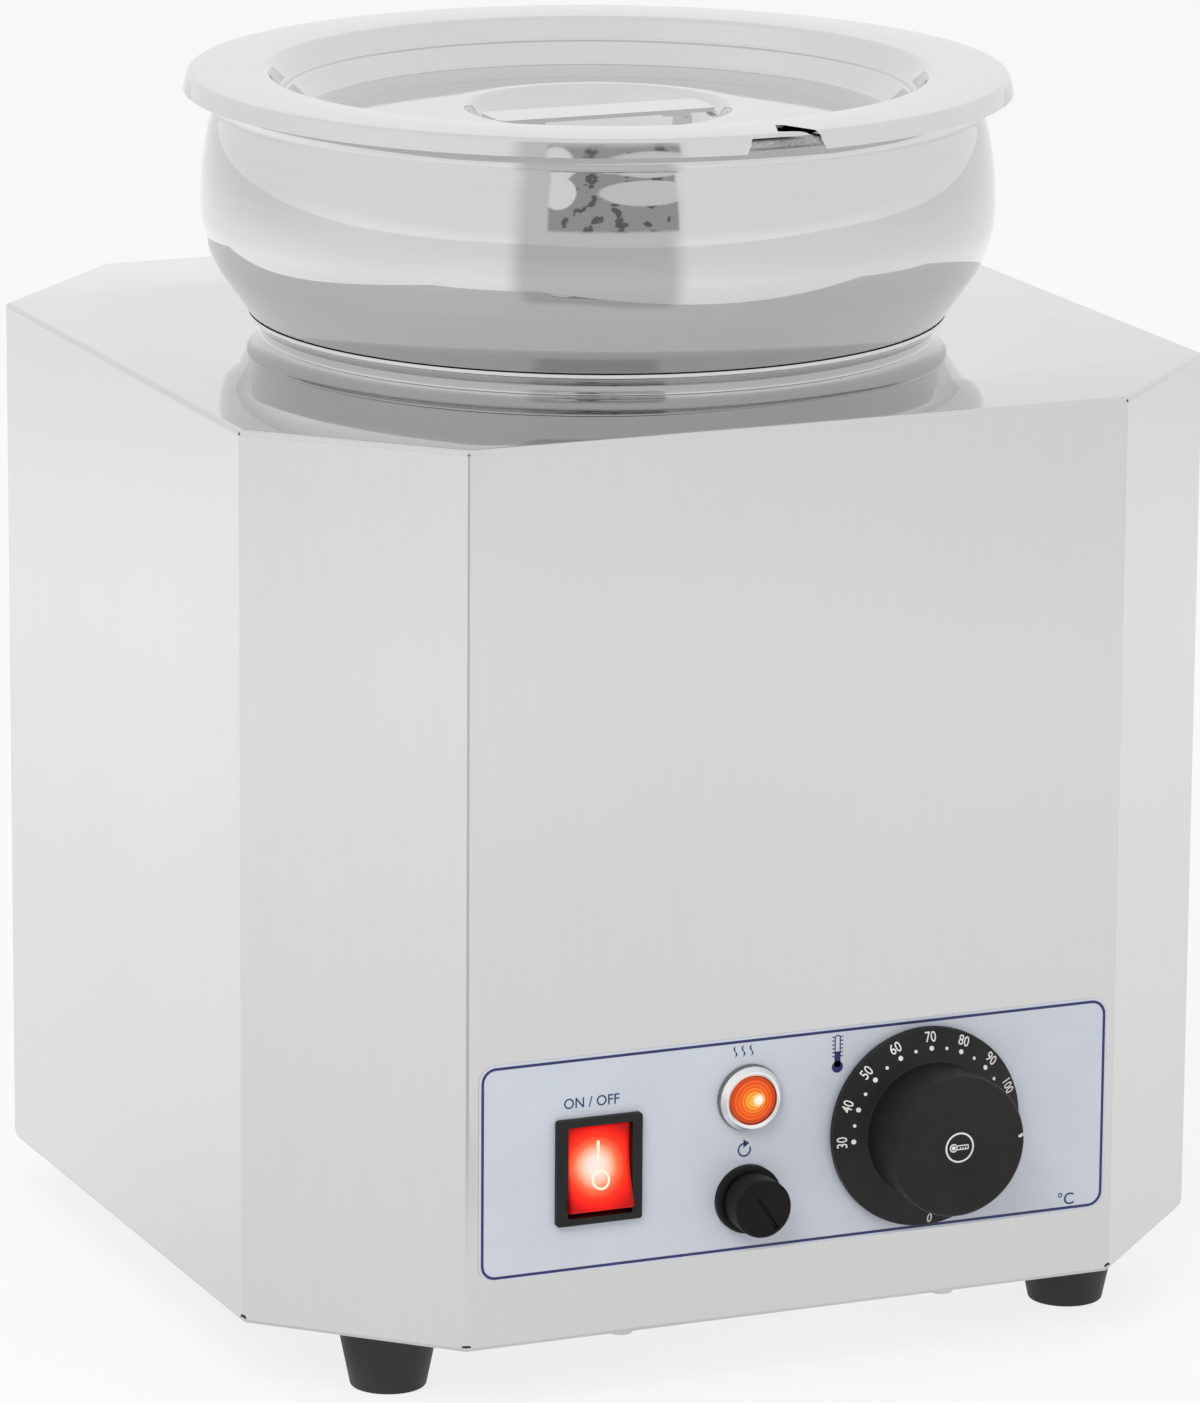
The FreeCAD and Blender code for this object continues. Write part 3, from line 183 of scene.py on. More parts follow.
def sheet_section(points, rounds, thickness):
    """Closed section of a sheet from one face's line, with the other face to the left of its heading."""
    path = [Vector(p) for p in points]
    headings = [(b - a).normalized() for a, b in zip(path, path[1:])]
    lefts = [Vector((-h.y, h.x)) for h in headings]
    side = 1 if thickness > 0 else -1
    other = []
    other_rounds = []
    for i, place in enumerate(path):
        before = lefts[max(i - 1, 0)]
        after = lefts[min(i, len(lefts) - 1)]
        middle = (before + after).normalized()
        other.append(place + middle * (thickness / middle.dot(after)))
        turn_left = 0.0
        if 0 < i < len(path) - 1:
            turn_left = headings[i - 1].cross(headings[i]) * side
        change = -abs(thickness) if turn_left > 0 else abs(thickness)
        other_rounds.append(max(rounds[i] + change, 0.05) if rounds[i] > 0 else 0)
    return path + other[::-1], list(rounds) + other_rounds[::-1]


def spun_sheet(name, points, rounds, thickness, steps):
    """Sheet spun round the upright axis, from (radius, height) points of one face."""
    line, corners = sheet_section(points, rounds, thickness)
    piece = draw_line(name, [(r, 0, h) for r, h in line], corners, closed=True, steps=steps)
    bpy.ops.mesh.select_all(action="SELECT")
    bpy.ops.mesh.spin(steps=ROUND_STEPS, angle=TURN, center=(0, 0, 0), axis=(0, 0, 1))
    bpy.ops.mesh.select_all(action="SELECT")
    bpy.ops.mesh.remove_doubles(threshold=SEAM)
    bpy.ops.mesh.normals_make_consistent(inside=False)
    return finish_piece(piece)


def outline(name, points, radius, steps=CORNER_STEPS):
    """Flat face with rounded corners, from its corner points, left in edit mode."""
    rounds = radius if isinstance(radius, list) else [radius] * len(points)
    piece = draw_line(name, points, rounds, closed=True, steps=steps)
    bpy.ops.mesh.select_all(action="SELECT")
    bpy.ops.mesh.edge_face_add()
    return piece


def thicken(piece, along):
    """Extrudes the selected face along a vector and makes the normals point outwards."""
    bpy.ops.mesh.extrude_region_move(TRANSFORM_OT_translate={"value": along})
    bpy.ops.mesh.select_all(action="SELECT")
    bpy.ops.mesh.normals_make_consistent(inside=False)
    return piece


def front_box(x, z, width, height, near):
    """Corner points of an upright rectangle facing the front, at the near plane."""
    corners = [(-1, -1), (1, -1), (1, 1), (-1, 1)]
    return [(x + sx * width / 2, near, z + sz * height / 2) for sx, sz in corners]


def use(piece, kind, **values):
    """Adds a modifier to the piece and applies it."""
    select_only(piece)
    tool = piece.modifiers.new(kind.title(), kind)
    for key, value in values.items():
        setattr(tool, key, value)
    bpy.ops.object.modifier_apply(modifier=tool.name)
    piece.select_set(False)
    return piece


def cut(piece, cutter):
    """Takes the cutter's space out of the piece and deletes the cutter."""
    use(piece, "BOOLEAN", operation="DIFFERENCE", solver="EXACT", object=cutter)
    bpy.data.objects.remove(cutter)
    return piece


def joined(name, pieces):
    """Makes one piece of several."""
    deselect()
    for piece in pieces:
        piece.select_set(True)
    bpy.context.view_layer.objects.active = pieces[0]
    bpy.ops.object.join()
    whole = bpy.context.object
    whole.name = whole.data.name = name
    whole.select_set(False)
    return whole


def lettering(name, words, height, place, tilt, bold=0.0, narrow=1.0):
    """Flat raised print of words or numbers, moved to its place by a matrix."""
    deselect()
    bpy.ops.object.text_add(location=(0, 0, 0))
    piece = bpy.context.object
    piece.data.body = words
    piece.data.size = height / CAPITAL_SHARE
    piece.data.align_x = "CENTER"
    piece.data.align_y = "CENTER"
    piece.data.offset = bold
    piece.data.extrude = INK_T / 2
    piece.data.resolution_u = 4
    bpy.ops.object.convert(target="MESH")
    piece = bpy.context.object
    piece.name = piece.data.name = name
    across = [v.co.x for v in piece.data.vertices]
    upward = [v.co.y for v in piece.data.vertices]
    centred = Matrix.Translation((-(min(across) + max(across)) / 2, -(min(upward) + max(upward)) / 2, 0))
    squeezed = Matrix.Diagonal((narrow, 1, 1, 1))
    piece.data.transform(place @ tilt @ squeezed @ centred)
    return piece


# Materials

def wire(tree, socket, value):
    """Links a socket from another node, or sets it."""
    if isinstance(value, bpy.types.NodeSocket):
        tree.links.new(value, socket)
    else:
        socket.default_value = value


def node(tree, kind, inputs=None, **settings):
    made = tree.nodes.new(kind)
    for key, value in settings.items():
        setattr(made, key, value)
    for key, value in (inputs or {}).items():
        wire(tree, made.inputs[key], value)
    return made


def math_node(tree, operation, first, second=0.0):
    return node(tree, "ShaderNodeMath", {0: first, 1: second}, operation=operation).outputs[0]


def mix_shares(tree, first, first_share, second, second_share):
    """Sum of two values in given shares."""
    return math_node(tree, "ADD", math_node(tree, "MULTIPLY", first, first_share),
                     math_node(tree, "MULTIPLY", second, second_share))


def ramp(tree, value, stops):
    """Colour ramp over a value, from (position, colour) stops."""
    made = node(tree, "ShaderNodeValToRGB", {"Fac": value})
    elements = made.color_ramp.elements
    while len(elements) < len(stops):
        elements.new(0.5)
    for element, (position, colour) in zip(elements, stops):
        element.position = position
        element.color = colour if len(colour) == 4 else (*colour, 1)
    return made.outputs["Color"]


def object_place(tree):
    return node(tree, "ShaderNodeTexCoord").outputs["Object"]


def noise(tree, place, scale, detail, **settings):
    values = {"Vector": place, "Scale": scale, "Detail": detail, **settings}
    return node(tree, "ShaderNodeTexNoise", values).outputs["Fac"]


def emboss(tree, shader, height, strength):
    """Fine relief on the shader's normal."""
    relief = node(tree, "ShaderNodeBump", {"Height": height, "Strength": strength, "Distance": RELIEF})
    wire(tree, shader.inputs["Normal"], relief.outputs["Normal"])


def grey(value):
    return (value, value, value, 1)


def new_group(name, inputs, outputs):
    group = bpy.data.node_groups.new(name, "ShaderNodeTree")
    for label, kind, value in inputs:
        socket = group.interface.new_socket(name=label, in_out="INPUT", socket_type=kind)
        socket.default_value = value
    for label, kind in outputs:
        group.interface.new_socket(name=label, in_out="OUTPUT", socket_type=kind)
    entry = group.nodes.new("NodeGroupInput")
    leave = group.nodes.new("NodeGroupOutput")
    return group, entry, leave


def wire_color(tree, mix, first, second):
    """Links the colour inputs of a colour mix, which share their names with its other kinds."""
    slots = [s for s in mix.inputs if s.type == "RGBA"]
    wire(tree, slots[0], first)
    wire(tree, slots[1], second)


def colour_result(mix):
    return next(s for s in mix.outputs if s.type == "RGBA")


def colour_mix(tree, factor, first, second):
    mix = tree.nodes.new("ShaderNodeMix")
    mix.data_type = "RGBA"
    wire(tree, mix.inputs[0], factor)
    wire_color(tree, mix, first, second)
    return colour_result(mix)


def band(tree, value, low, high, from_level, to_level):
    """Smooth step of a level while a value goes from low to high."""
    return node(tree, "ShaderNodeMapRange", {
        "Value": value, "From Min": low, "From Max": high, "To Min": from_level, "To Max": to_level},
        interpolation_type="SMOOTHSTEP").outputs["Result"]


def blend(tree, factor, first, second):
    return node(tree, "ShaderNodeMix", {0: factor, 2: first, 3: second}, data_type="FLOAT").outputs[0]


def round_coordinates(tree):
    """Object position with its distance from Z and its angle round Z."""
    place = object_place(tree)
    split = node(tree, "ShaderNodeSeparateXYZ", {0: place})
    flat = node(tree, "ShaderNodeCombineXYZ", {"X": split.outputs["X"], "Y": split.outputs["Y"]}).outputs[0]
    radius = node(tree, "ShaderNodeVectorMath", {0: flat}, operation="LENGTH").outputs["Value"]
    around = math_node(tree, "ARCTAN2", split.outputs["Y"], split.outputs["X"])
    return place, radius, around, split.outputs["Z"]


def spread(tree, value, low, high):
    """Straight rise from 0 to 1 while a value goes from low to high."""
    return node(tree, "ShaderNodeMapRange", {"Value": value, "From Min": low, "From Max": high}).outputs["Result"]


def surface_group(name, *more):
    """Group with the inputs and outputs that every kind of surface has, and the inputs of its own."""
    inputs = [("Light", "NodeSocketColor", grey(0.8)), ("Dark", "NodeSocketColor", grey(0.7)),
              ("Smooth", "NodeSocketFloat", 0.05), ("Rough", "NodeSocketFloat", 0.15), *more]
    outputs = [("Colour", "NodeSocketColor"), ("Roughness", "NodeSocketFloat"), ("Height", "NodeSocketFloat")]
    return new_group(name, inputs, outputs)


def set_surface(group, entry, leave, level, height, marks=None):
    """Colour from dark to light by a level, with less roughness where it is light, or more with marks."""
    shade = spread(group, level, 0.35, 0.65)
    wire(group, leave.inputs["Colour"], colour_mix(group, shade, entry.outputs["Dark"], entry.outputs["Light"]))
    least, most = "Rough", "Smooth"
    if marks:
        shade = math_node(group, "ADD", math_node(group, "MULTIPLY", shade, 0.5), marks)
        least, most = most, least
    rough = node(group, "ShaderNodeMapRange", {
        "Value": shade, "To Min": entry.outputs[least], "To Max": entry.outputs[most]}).outputs["Result"]
    wire(group, leave.inputs["Roughness"], rough)
    wire(group, leave.inputs["Height"], height)
    return group


def spun_grain_group():
    """Fine rings left by spinning and polishing round Z, with slow changes of tone between them."""
    group, entry, leave = surface_group("spun grain", ("Rings", "NodeSocketFloat", 900.0))
    place, radius, around, height = round_coordinates(group)
    across = math_node(group, "MULTIPLY", radius, entry.outputs["Rings"])
    along = math_node(group, "MULTIPLY", height, entry.outputs["Rings"])
    wrapped = node(group, "ShaderNodeCombineXYZ", {
        "X": across, "Y": math_node(group, "SINE", around), "Z": along}).outputs[0]
    rings = noise(group, wrapped, 1.0, 4.0, Roughness=0.6)
    slow = noise(group, place, 9.0, 2.0)
    return set_surface(group, entry, leave, mix_shares(group, rings, 0.6, slow, 0.4), rings)


def sheet_finish_group():
    """Mill-polished sheet: faint upright polishing lines, haze and a few wiped marks."""
    group, entry, leave = surface_group("sheet finish")
    place = object_place(group)
    haze = noise(group, place, 7.0, 3.0, Roughness=0.5)
    stretched = node(group, "ShaderNodeVectorMath", {0: place, 1: (900.0, 900.0, 12.0)}, operation="MULTIPLY")
    lines = noise(group, stretched.outputs[0], 1.0, 3.0)
    wiped = noise(group, place, 26.0, 5.0, Distortion=1.5)
    marks = spread(group, wiped, 0.55, 0.8)
    return set_surface(group, entry, leave, mix_shares(group, haze, 0.7, lines, 0.3), lines, marks)


def moulded_group():
    """Fine grain with dust and rubbed spots, for plastics, rubber, ink, castings and turned metal."""
    group, entry, leave = surface_group("moulded grain", ("Grain", "NodeSocketFloat", 2500.0))
    place = object_place(group)
    grain = noise(group, place, entry.outputs["Grain"], 2.0)
    worn = noise(group, place, 60.0, 4.0)
    return set_surface(group, entry, leave, mix_shares(group, grain, 0.4, worn, 0.6), grain)


SPUN = spun_grain_group()
SHEET_FINISH = sheet_finish_group()
MOULDED = moulded_group()


def new_material(name, metal, **uniform):
    """Material with its shader, whose even values are set on the shader's own sockets."""
    made = bpy.data.materials.new(name)
    made.use_nodes = True
    tree = made.node_tree
    shader = tree.nodes["Principled BSDF"]
    shader.inputs["Metallic"].default_value = metal
    for key, value in uniform.items():
        shader.inputs[key.replace("_", " ").title().replace("Ior", "IOR")].default_value = value
    return made, tree, shader


def surfaced(name, group, metal, light, dark, smooth_to, rough_to, bump, extra=None, **uniform):
    """Material whose colour, roughness and relief come from one of the shared groups."""
    made, tree, shader = new_material(name, metal, **uniform)
    values = {"Light": light, "Dark": dark, "Smooth": smooth_to, "Rough": rough_to, **(extra or {})}
    effect = node(tree, "ShaderNodeGroup", node_tree=group)
    for key, value in values.items():
        effect.inputs[key].default_value = value
    wire(tree, shader.inputs["Base Color"], effect.outputs["Colour"])
    wire(tree, shader.inputs["Roughness"], effect.outputs["Roughness"])
    emboss(tree, shader, effect.outputs["Height"], bump)
    return made


def tone(red, green, blue):
    return (red, green, blue, 1)


polished_steel = surfaced("polished sheet steel", SHEET_FINISH, 1.0, grey(0.66), grey(0.64), 0.02, 0.05, 0.004)
plain_steel = surfaced("plain sheet steel", SHEET_FINISH, 1.0, grey(0.62), grey(0.52), 0.25, 0.4, 0.1)
tank_steel = surfaced("drawn tank steel", SPUN, 1.0, grey(0.66), grey(0.58), 0.14, 0.26, 0.05)
pot_steel = surfaced("spun pot steel", SPUN, 1.0, grey(0.66), grey(0.64), 0.012, 0.04, 0.004,
                     extra={"Rings": 700.0})
curl_steel = surfaced("pot rim steel", MOULDED, 1.0, grey(0.62), grey(0.30), 0.30, 0.5, 0.35,
                      extra={"Grain": 1700.0})
lid_steel = surfaced("spun lid steel", SPUN, 1.0, grey(0.68), grey(0.655), 0.03, 0.07, 0.010,
                     extra={"Rings": 1100.0})
film = surfaced("printed film", MOULDED, 0.0, tone(0.585, 0.62, 0.69), tone(0.555, 0.59, 0.66), 0.3, 0.42, 0.03)
navy_ink = surfaced("navy ink", MOULDED, 0.0, tone(0.016, 0.025, 0.13), tone(0.012, 0.018, 0.10),
                    0.35, 0.5, 0.05)
white_ink = surfaced("white ink", MOULDED, 0.0, grey(0.82), grey(0.66), 0.4, 0.55, 0.05)
black_plastic = surfaced("matte black plastic", MOULDED, 0.0, grey(0.010), grey(0.005), 0.42, 0.55, 0.12,
                         specular_ior_level=0.3)
cap_plastic = surfaced("cap plastic", MOULDED, 0.0, grey(0.006), grey(0.003), 0.42, 0.55, 0.12,
                       specular_ior_level=0.16)
white_plastic = surfaced("white plastic", MOULDED, 0.0, grey(0.74), grey(0.66), 0.35, 0.5, 0.08)
foot_rubber = surfaced("foot rubber", MOULDED, 0.0, grey(0.022), grey(0.010), 0.5, 0.68, 0.2,
                       extra={"Grain": 1600.0})
gland_grey = surfaced("gland plastic", MOULDED, 0.0, grey(0.26), grey(0.21), 0.4, 0.55, 0.1)
button_red = surfaced("button red", MOULDED, 0.0, tone(0.55, 0.03, 0.025), tone(0.45, 0.02, 0.02),
                      0.3, 0.45, 0.06)
brass = surfaced("brass", MOULDED, 1.0, tone(0.78, 0.56, 0.24), tone(0.66, 0.45, 0.18), 0.25, 0.42, 0.08)
copper = surfaced("copper", MOULDED, 1.0, tone(0.80, 0.40, 0.26), tone(0.68, 0.32, 0.20), 0.25, 0.4, 0.08)
aluminium = surfaced("cast aluminium", MOULDED, 1.0, grey(0.72), grey(0.58), 0.35, 0.55, 0.25,
                     extra={"Grain": 900.0})
control_metal = surfaced("control casing steel", MOULDED, 1.0, grey(0.60), grey(0.50), 0.3, 0.45, 0.1)
element_steel = surfaced("element sheath", MOULDED, 1.0, tone(0.34, 0.32, 0.27), tone(0.22, 0.2, 0.18),
                         0.35, 0.55, 0.15)
zinc = surfaced("zinc plating", MOULDED, 1.0, tone(0.66, 0.67, 0.68), tone(0.52, 0.53, 0.56), 0.24, 0.4, 0.08)


def front_offset(tree, centre):
    """Position on the front in millimetres from a centre, as x and z, and the plain y in metres."""
    split = node(tree, "ShaderNodeSeparateXYZ", {0: object_place(tree)})
    across = math_node(tree, "SUBTRACT", math_node(tree, "DIVIDE", split.outputs["X"], MM), centre[0])
    upward = math_node(tree, "SUBTRACT", math_node(tree, "DIVIDE", split.outputs["Z"], MM), centre[1])
    return across, upward, split.outputs["Y"]


def reach_of(tree, across, upward, x=0.0, z=0.0):
    """Distance from a point (x, z) that is given in the same millimetres."""
    flat = node(tree, "ShaderNodeCombineXYZ", {
        "X": math_node(tree, "SUBTRACT", across, x), "Y": math_node(tree, "SUBTRACT", upward, z)}).outputs[0]
    return node(tree, "ShaderNodeVectorMath", {0: flat}, operation="LENGTH").outputs["Value"]


def lit_rocker():
    """Red translucent plastic lit by a small lamp behind its middle."""
    made, tree, shader = new_material("lit rocker red", 0.0, roughness=0.22, specular_ior_level=0.15,
                                      emission_strength=1.0)
    across, upward, _ = front_offset(tree, SWITCH)
    glow = reach_of(tree, across, upward, -0.8, 1.0)
    haze = noise(tree, object_place(tree), 260.0, 3.0)
    glow = math_node(tree, "ADD", glow, math_node(tree, "MULTIPLY", haze, 0.8))
    light = ramp(tree, math_node(tree, "DIVIDE", glow, 14.0), [
        (0.0, (1.0, 0.84, 0.80)), (0.20, (1.0, 0.80, 0.72)), (0.36, (0.98, 0.52, 0.34)),
        (0.50, (0.94, 0.17, 0.07)), (0.66, (0.90, 0.035, 0.008)), (0.84, (0.74, 0.004, 0.001)),
        (1.0, (0.36, 0.0, 0.0))])
    edge = reach_of(tree, across, 0.0)
    side = ramp(tree, math_node(tree, "DIVIDE", edge, 9.7), [
        (0.0, grey(1)), (0.86, grey(1)), (0.99, grey(0.35))])
    lit = node(tree, "ShaderNodeMix", {0: 1.0}, data_type="RGBA", blend_type="MULTIPLY")
    wire_color(tree, lit, light, side)
    wire(tree, shader.inputs["Emission Color"], colour_result(lit))
    base = colour_mix(tree, haze, tone(0.16, 0.004, 0.003), tone(0.22, 0.006, 0.004))
    wire(tree, shader.inputs["Base Color"], base)
    emboss(tree, shader, haze, 0.04)
    return made


def lit_lens():
    """Amber lens with rings moulded inside it, ribs at its edge and a lamp right of its middle."""
    made, tree, shader = new_material("lit lens amber", 0.0, roughness=0.08, specular_ior_level=0.2,
                                      emission_strength=1.0)
    across, upward, _ = front_offset(tree, LAMP)
    radius = reach_of(tree, across, upward)
    colour = ramp(tree, math_node(tree, "DIVIDE", radius, 7.2), [
        (0.0, (1.0, 0.50, 0.05)), (0.28, (1.0, 0.40, 0.03)), (0.42, (0.92, 0.20, 0.012)),
        (0.62, (0.84, 0.10, 0.007)), (0.88, (0.80, 0.07, 0.006)), (1.0, (0.45, 0.03, 0.004))])
    rings = math_node(tree, "SINE", math_node(tree, "MULTIPLY", radius, TURN / 1.05))
    shade = node(tree, "ShaderNodeMapRange", {
        "Value": rings, "From Min": -1.0, "From Max": 1.0, "To Min": 0.62, "To Max": 1.15}).outputs["Result"]
    around = math_node(tree, "ARCTAN2", upward, across)
    ribs = math_node(tree, "SINE", math_node(tree, "MULTIPLY", around, 46.0))
    at_edge = band(tree, radius, 5.6, 6.4, 0.0, 0.55)
    depth = math_node(tree, "MULTIPLY", math_node(tree, "ABSOLUTE", ribs), at_edge)
    ribbed = math_node(tree, "SUBTRACT", 1.0, depth)
    strength = math_node(tree, "MULTIPLY", shade, ribbed)
    tinted = node(tree, "ShaderNodeVectorMath", {0: colour, "Scale": strength}, operation="SCALE").outputs[0]
    spot = reach_of(tree, across, upward, 1.4, 0.1)
    hot = band(tree, spot, 0.5, 2.4, 1.0, 0.0)
    wire(tree, shader.inputs["Emission Color"], colour_mix(tree, hot, tinted, tone(1.0, 0.95, 0.78)))
    base = ramp(tree, shade, [(0.0, (0.10, 0.02, 0.004)), (1.0, (0.16, 0.03, 0.006))])
    wire(tree, shader.inputs["Base Color"], base)
    emboss(tree, shader, rings, 0.15)
    return made


def ring_finish():
    """Satin face and a grey knurled side, parted by how far the ring stands out."""
    made, tree, shader = new_material("lamp ring chrome", 1.0)
    across, upward, depth = front_offset(tree, LAMP)
    out = math_node(tree, "SUBTRACT", FILM, math_node(tree, "DIVIDE", depth, MM))
    face = band(tree, out, 1.7, 2.1, 0.0, 1.0)
    around = math_node(tree, "ARCTAN2", upward, across)
    teeth = math_node(tree, "SINE", math_node(tree, "MULTIPLY", around, 90.0))
    grain = noise(tree, object_place(tree), 2600.0, 3.0)
    side_tone = math_node(tree, "MULTIPLY", grain, 0.52)
    face_tone = math_node(tree, "ADD", math_node(tree, "MULTIPLY", grain, 0.12), 0.84)
    wire(tree, shader.inputs["Base Color"], blend(tree, face, side_tone, face_tone))
    wire(tree, shader.inputs["Roughness"], blend(tree, face, 0.45, 0.30))
    knurl = math_node(tree, "MULTIPLY", teeth, math_node(tree, "SUBTRACT", 1.0, face))
    emboss(tree, shader, math_node(tree, "ADD", grain, knurl), 0.25)
    return made


def lit_mark():
    """Cream mark moulded in the rocker, lit with it."""
    made, tree, shader = new_material("rocker mark", 0.0, roughness=0.35, emission_strength=1.0)
    grain = noise(tree, object_place(tree), 900.0, 2.0)
    cream = colour_mix(tree, grain, tone(1.0, 0.68, 0.42), tone(1.0, 0.86, 0.66))
    wire(tree, shader.inputs["Emission Color"], cream)
    wire(tree, shader.inputs["Base Color"], ramp(tree, grain, [(0, grey(0.1)), (1, grey(0.16))]))
    return made


rocker_red = lit_rocker()
lens_amber = lit_lens()
chrome = ring_finish()
mark_cream = lit_mark()


NODE_FINISH = {
    "deck": polished_steel, "housing_wrap": polished_steel, "front_panel": polished_steel,
    "base_plate": plain_steel, "water_tank": tank_steel, "control_overlay": film, "pot": pot_steel,
    "lid_pan": lid_steel, "lid_handle": lid_steel, "switch_housing": black_plastic, "rocker": rocker_red,
    "switch_terminals": brass, "indicator_ring": chrome, "indicator_lens": lens_amber,
    "indicator_body": white_plastic, "indicator_nut": white_plastic, "cutout_body": black_plastic,
    "cutout_nut": cap_plastic, "reset_cap": cap_plastic, "reset_button": button_red,
    "thermostat_body": control_metal, "thermostat_screws": zinc, "thermostat_shaft": zinc, "knob": black_plastic,
    "heater_plate": aluminium, "heating_element": element_steel, "heater_clamp": zinc, "clamp_stud": zinc,
    "clamp_nut": zinc, "thermostat_bulb": copper, "cutout_bulb": copper, "bulb_clips": tank_steel,
    "thermostat_capillary": copper, "cutout_capillary": copper, "foot_screws": zinc, "foot_nuts": zinc,
    "base_screws": zinc, "cable_gland": gland_grey, "gland_cap": gland_grey, "gland_locknut": gland_grey,
    "terminal_block": white_plastic, "terminal_screws": brass, "earth_stud": brass, "earth_nut": brass,
    "foot_front_left": foot_rubber, "foot_front_right": foot_rubber, "foot_rear_left": foot_rubber,
    "foot_rear_right": foot_rubber,
}


def finish_nodes():
    for name, finish in NODE_FINISH.items():
        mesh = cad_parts[name].data
        mesh.materials.clear()
        mesh.materials.append(finish)


# Studio

def make_camera():
    """Camera that was fitted to the photograph, whose frame is 1200 x 1403."""
    camera = bpy.data.cameras.new("camera")
    camera.lens = 210.0
    camera.sensor_width = 36.0
    camera.sensor_fit = "AUTO"
    camera.clip_end = 50.0
    holder = bpy.data.objects.new("camera", camera)
    bpy.context.scene.collection.objects.link(holder)
    place = Vector((-0.9338, -2.1799, 0.7510))
    target = Vector((0.0019, 0.0, 0.1671))
    ahead = (target - place).normalized()
    turn = ahead.to_track_quat("-Z", "Y")
    roll = Matrix.Rotation(math.radians(0.40), 4, "Z")
    holder.matrix_world = Matrix.Translation(place) @ turn.to_matrix().to_4x4() @ roll
    bpy.context.scene.camera = holder


def oval(tree, side, up, centre, reach):
    """Mask of an oval in the room, 1 inside it."""
    flat = node(tree, "ShaderNodeCombineXYZ", {
        "X": math_node(tree, "DIVIDE", math_node(tree, "SUBTRACT", side, centre[0]), reach[0]),
        "Y": math_node(tree, "DIVIDE", math_node(tree, "SUBTRACT", up, centre[1]), reach[1])}).outputs[0]
    away = node(tree, "ShaderNodeVectorMath", {0: flat}, operation="LENGTH").outputs["Value"]
    return band(tree, away, 0.94, 1.06, 1.0, 0.0)


# Brightness of the studio's parts as metal sees them, where 1 is the white of the backdrop.
PANELS = (1.12, 1.07)
GROUND = (1.22, 1.10)
BEHIND = 0.97
GAP = (0.72, 0.97)
ABOVE = 0.95
DARK_ROOM = (0.40, 0.15)
CAMERA_SIDE = math.radians(23.2)


def room_group():
    """Brightness of the studio in a direction: two soft panels, the gap between them, and the room behind."""
    group, entry, leave = new_group(
        "room", [("Heading", "NodeSocketVector", (0, 0, 0))], [("Level", "NodeSocketFloat")])
    facing = node(group, "ShaderNodeVectorRotate", {
        "Vector": entry.outputs["Heading"], "Axis": (0, 0, 1), "Angle": CAMERA_SIDE},
        rotation_type="AXIS_ANGLE").outputs[0]
    split = node(group, "ShaderNodeSeparateXYZ", {0: facing})
    nearer = math_node(group, "MULTIPLY", split.outputs["Y"], -1.0)
    side = math_node(group, "ARCTAN2", split.outputs["X"], nearer)
    away = math_node(group, "ABSOLUTE", side)
    up = split.outputs["Z"]
    right = band(group, side, -1.5, 1.5, 0.0, 1.0)
    front = blend(group, right, *PANELS)
    front = math_node(group, "MULTIPLY", front, band(group, up, -0.03, 0.03, 1.0, 0.90))
    ground = blend(group, right, *GROUND)
    back = blend(group, band(group, up, -0.24, 0.0, 0.0, 1.0), ground, BEHIND)
    gap = math_node(group, "MULTIPLY", band(group, away, 0.34, 0.46, 1.0, 0.0),
                    band(group, up, -0.72, -0.50, 0.0, 1.0))
    behind = band(group, away, 1.1, 2.0, 0.0, 1.0)
    between = band(group, up, 0.50, 0.62, *GAP)
    level = blend(group, behind, blend(group, gap, front, between), back)
    clutter = noise(group, facing, 14.0, 2.0)
    room = band(group, clutter, 0.585, 0.615, *DARK_ROOM)
    room = blend(group, oval(group, side, up, (0.25, 0.285), (0.245, 0.095)), room, 0.76)
    room = blend(group, oval(group, side, up, (-0.20, 0.285), (0.092, 0.12)), room, 0.92)
    middle = math_node(group, "ABSOLUTE", math_node(group, "SUBTRACT", side, 0.08))
    column = band(group, middle, 0.315, 0.335, 1.0, 0.0)
    dark = math_node(group, "MULTIPLY", band(group, up, 0.035, 0.055, 0.0, 1.0),
                     band(group, up, 0.39, 0.44, 1.0, 0.0))
    level = blend(group, math_node(group, "MULTIPLY", column, dark), level, room)
    level = blend(group, band(group, up, 0.70, 0.90, 0.0, 1.0), level, ABOVE)
    wire(group, leave.inputs["Level"], level)
    return group


def make_world():
    """White backdrop for the camera; metal sees the studio's panels instead."""
    world = bpy.data.worlds.new("studio")
    bpy.context.scene.world = world
    world.use_nodes = True
    tree = world.node_tree
    tree.nodes.clear()
    heading = node(tree, "ShaderNodeTexCoord").outputs["Generated"]
    room = node(tree, "ShaderNodeGroup", {"Heading": heading}, node_tree=ROOM)
    ray = node(tree, "ShaderNodeLightPath")
    seen = blend(tree, ray.outputs["Is Diffuse Ray"], room.outputs["Level"], 0.75)
    strength = blend(tree, ray.outputs["Is Camera Ray"], seen, 1.0)
    light = node(tree, "ShaderNodeBackground", {"Color": grey(1.0), "Strength": strength})
    leave = node(tree, "ShaderNodeOutputWorld")
    tree.links.new(light.outputs[0], leave.inputs["Surface"])


def make_lamp(name, place, target, width, height, power):
    lamp = bpy.data.lights.new(name, "AREA")
    lamp.shape = "RECTANGLE"
    lamp.size = width
    lamp.size_y = height
    lamp.energy = power
    holder = bpy.data.objects.new(name, lamp)
    bpy.context.scene.collection.objects.link(holder)
    holder.location = place
    holder.rotation_mode = "QUATERNION"
    holder.rotation_quaternion = (Vector(target) - Vector(place)).to_track_quat("-Z", "Y")
    holder.visible_glossy = False


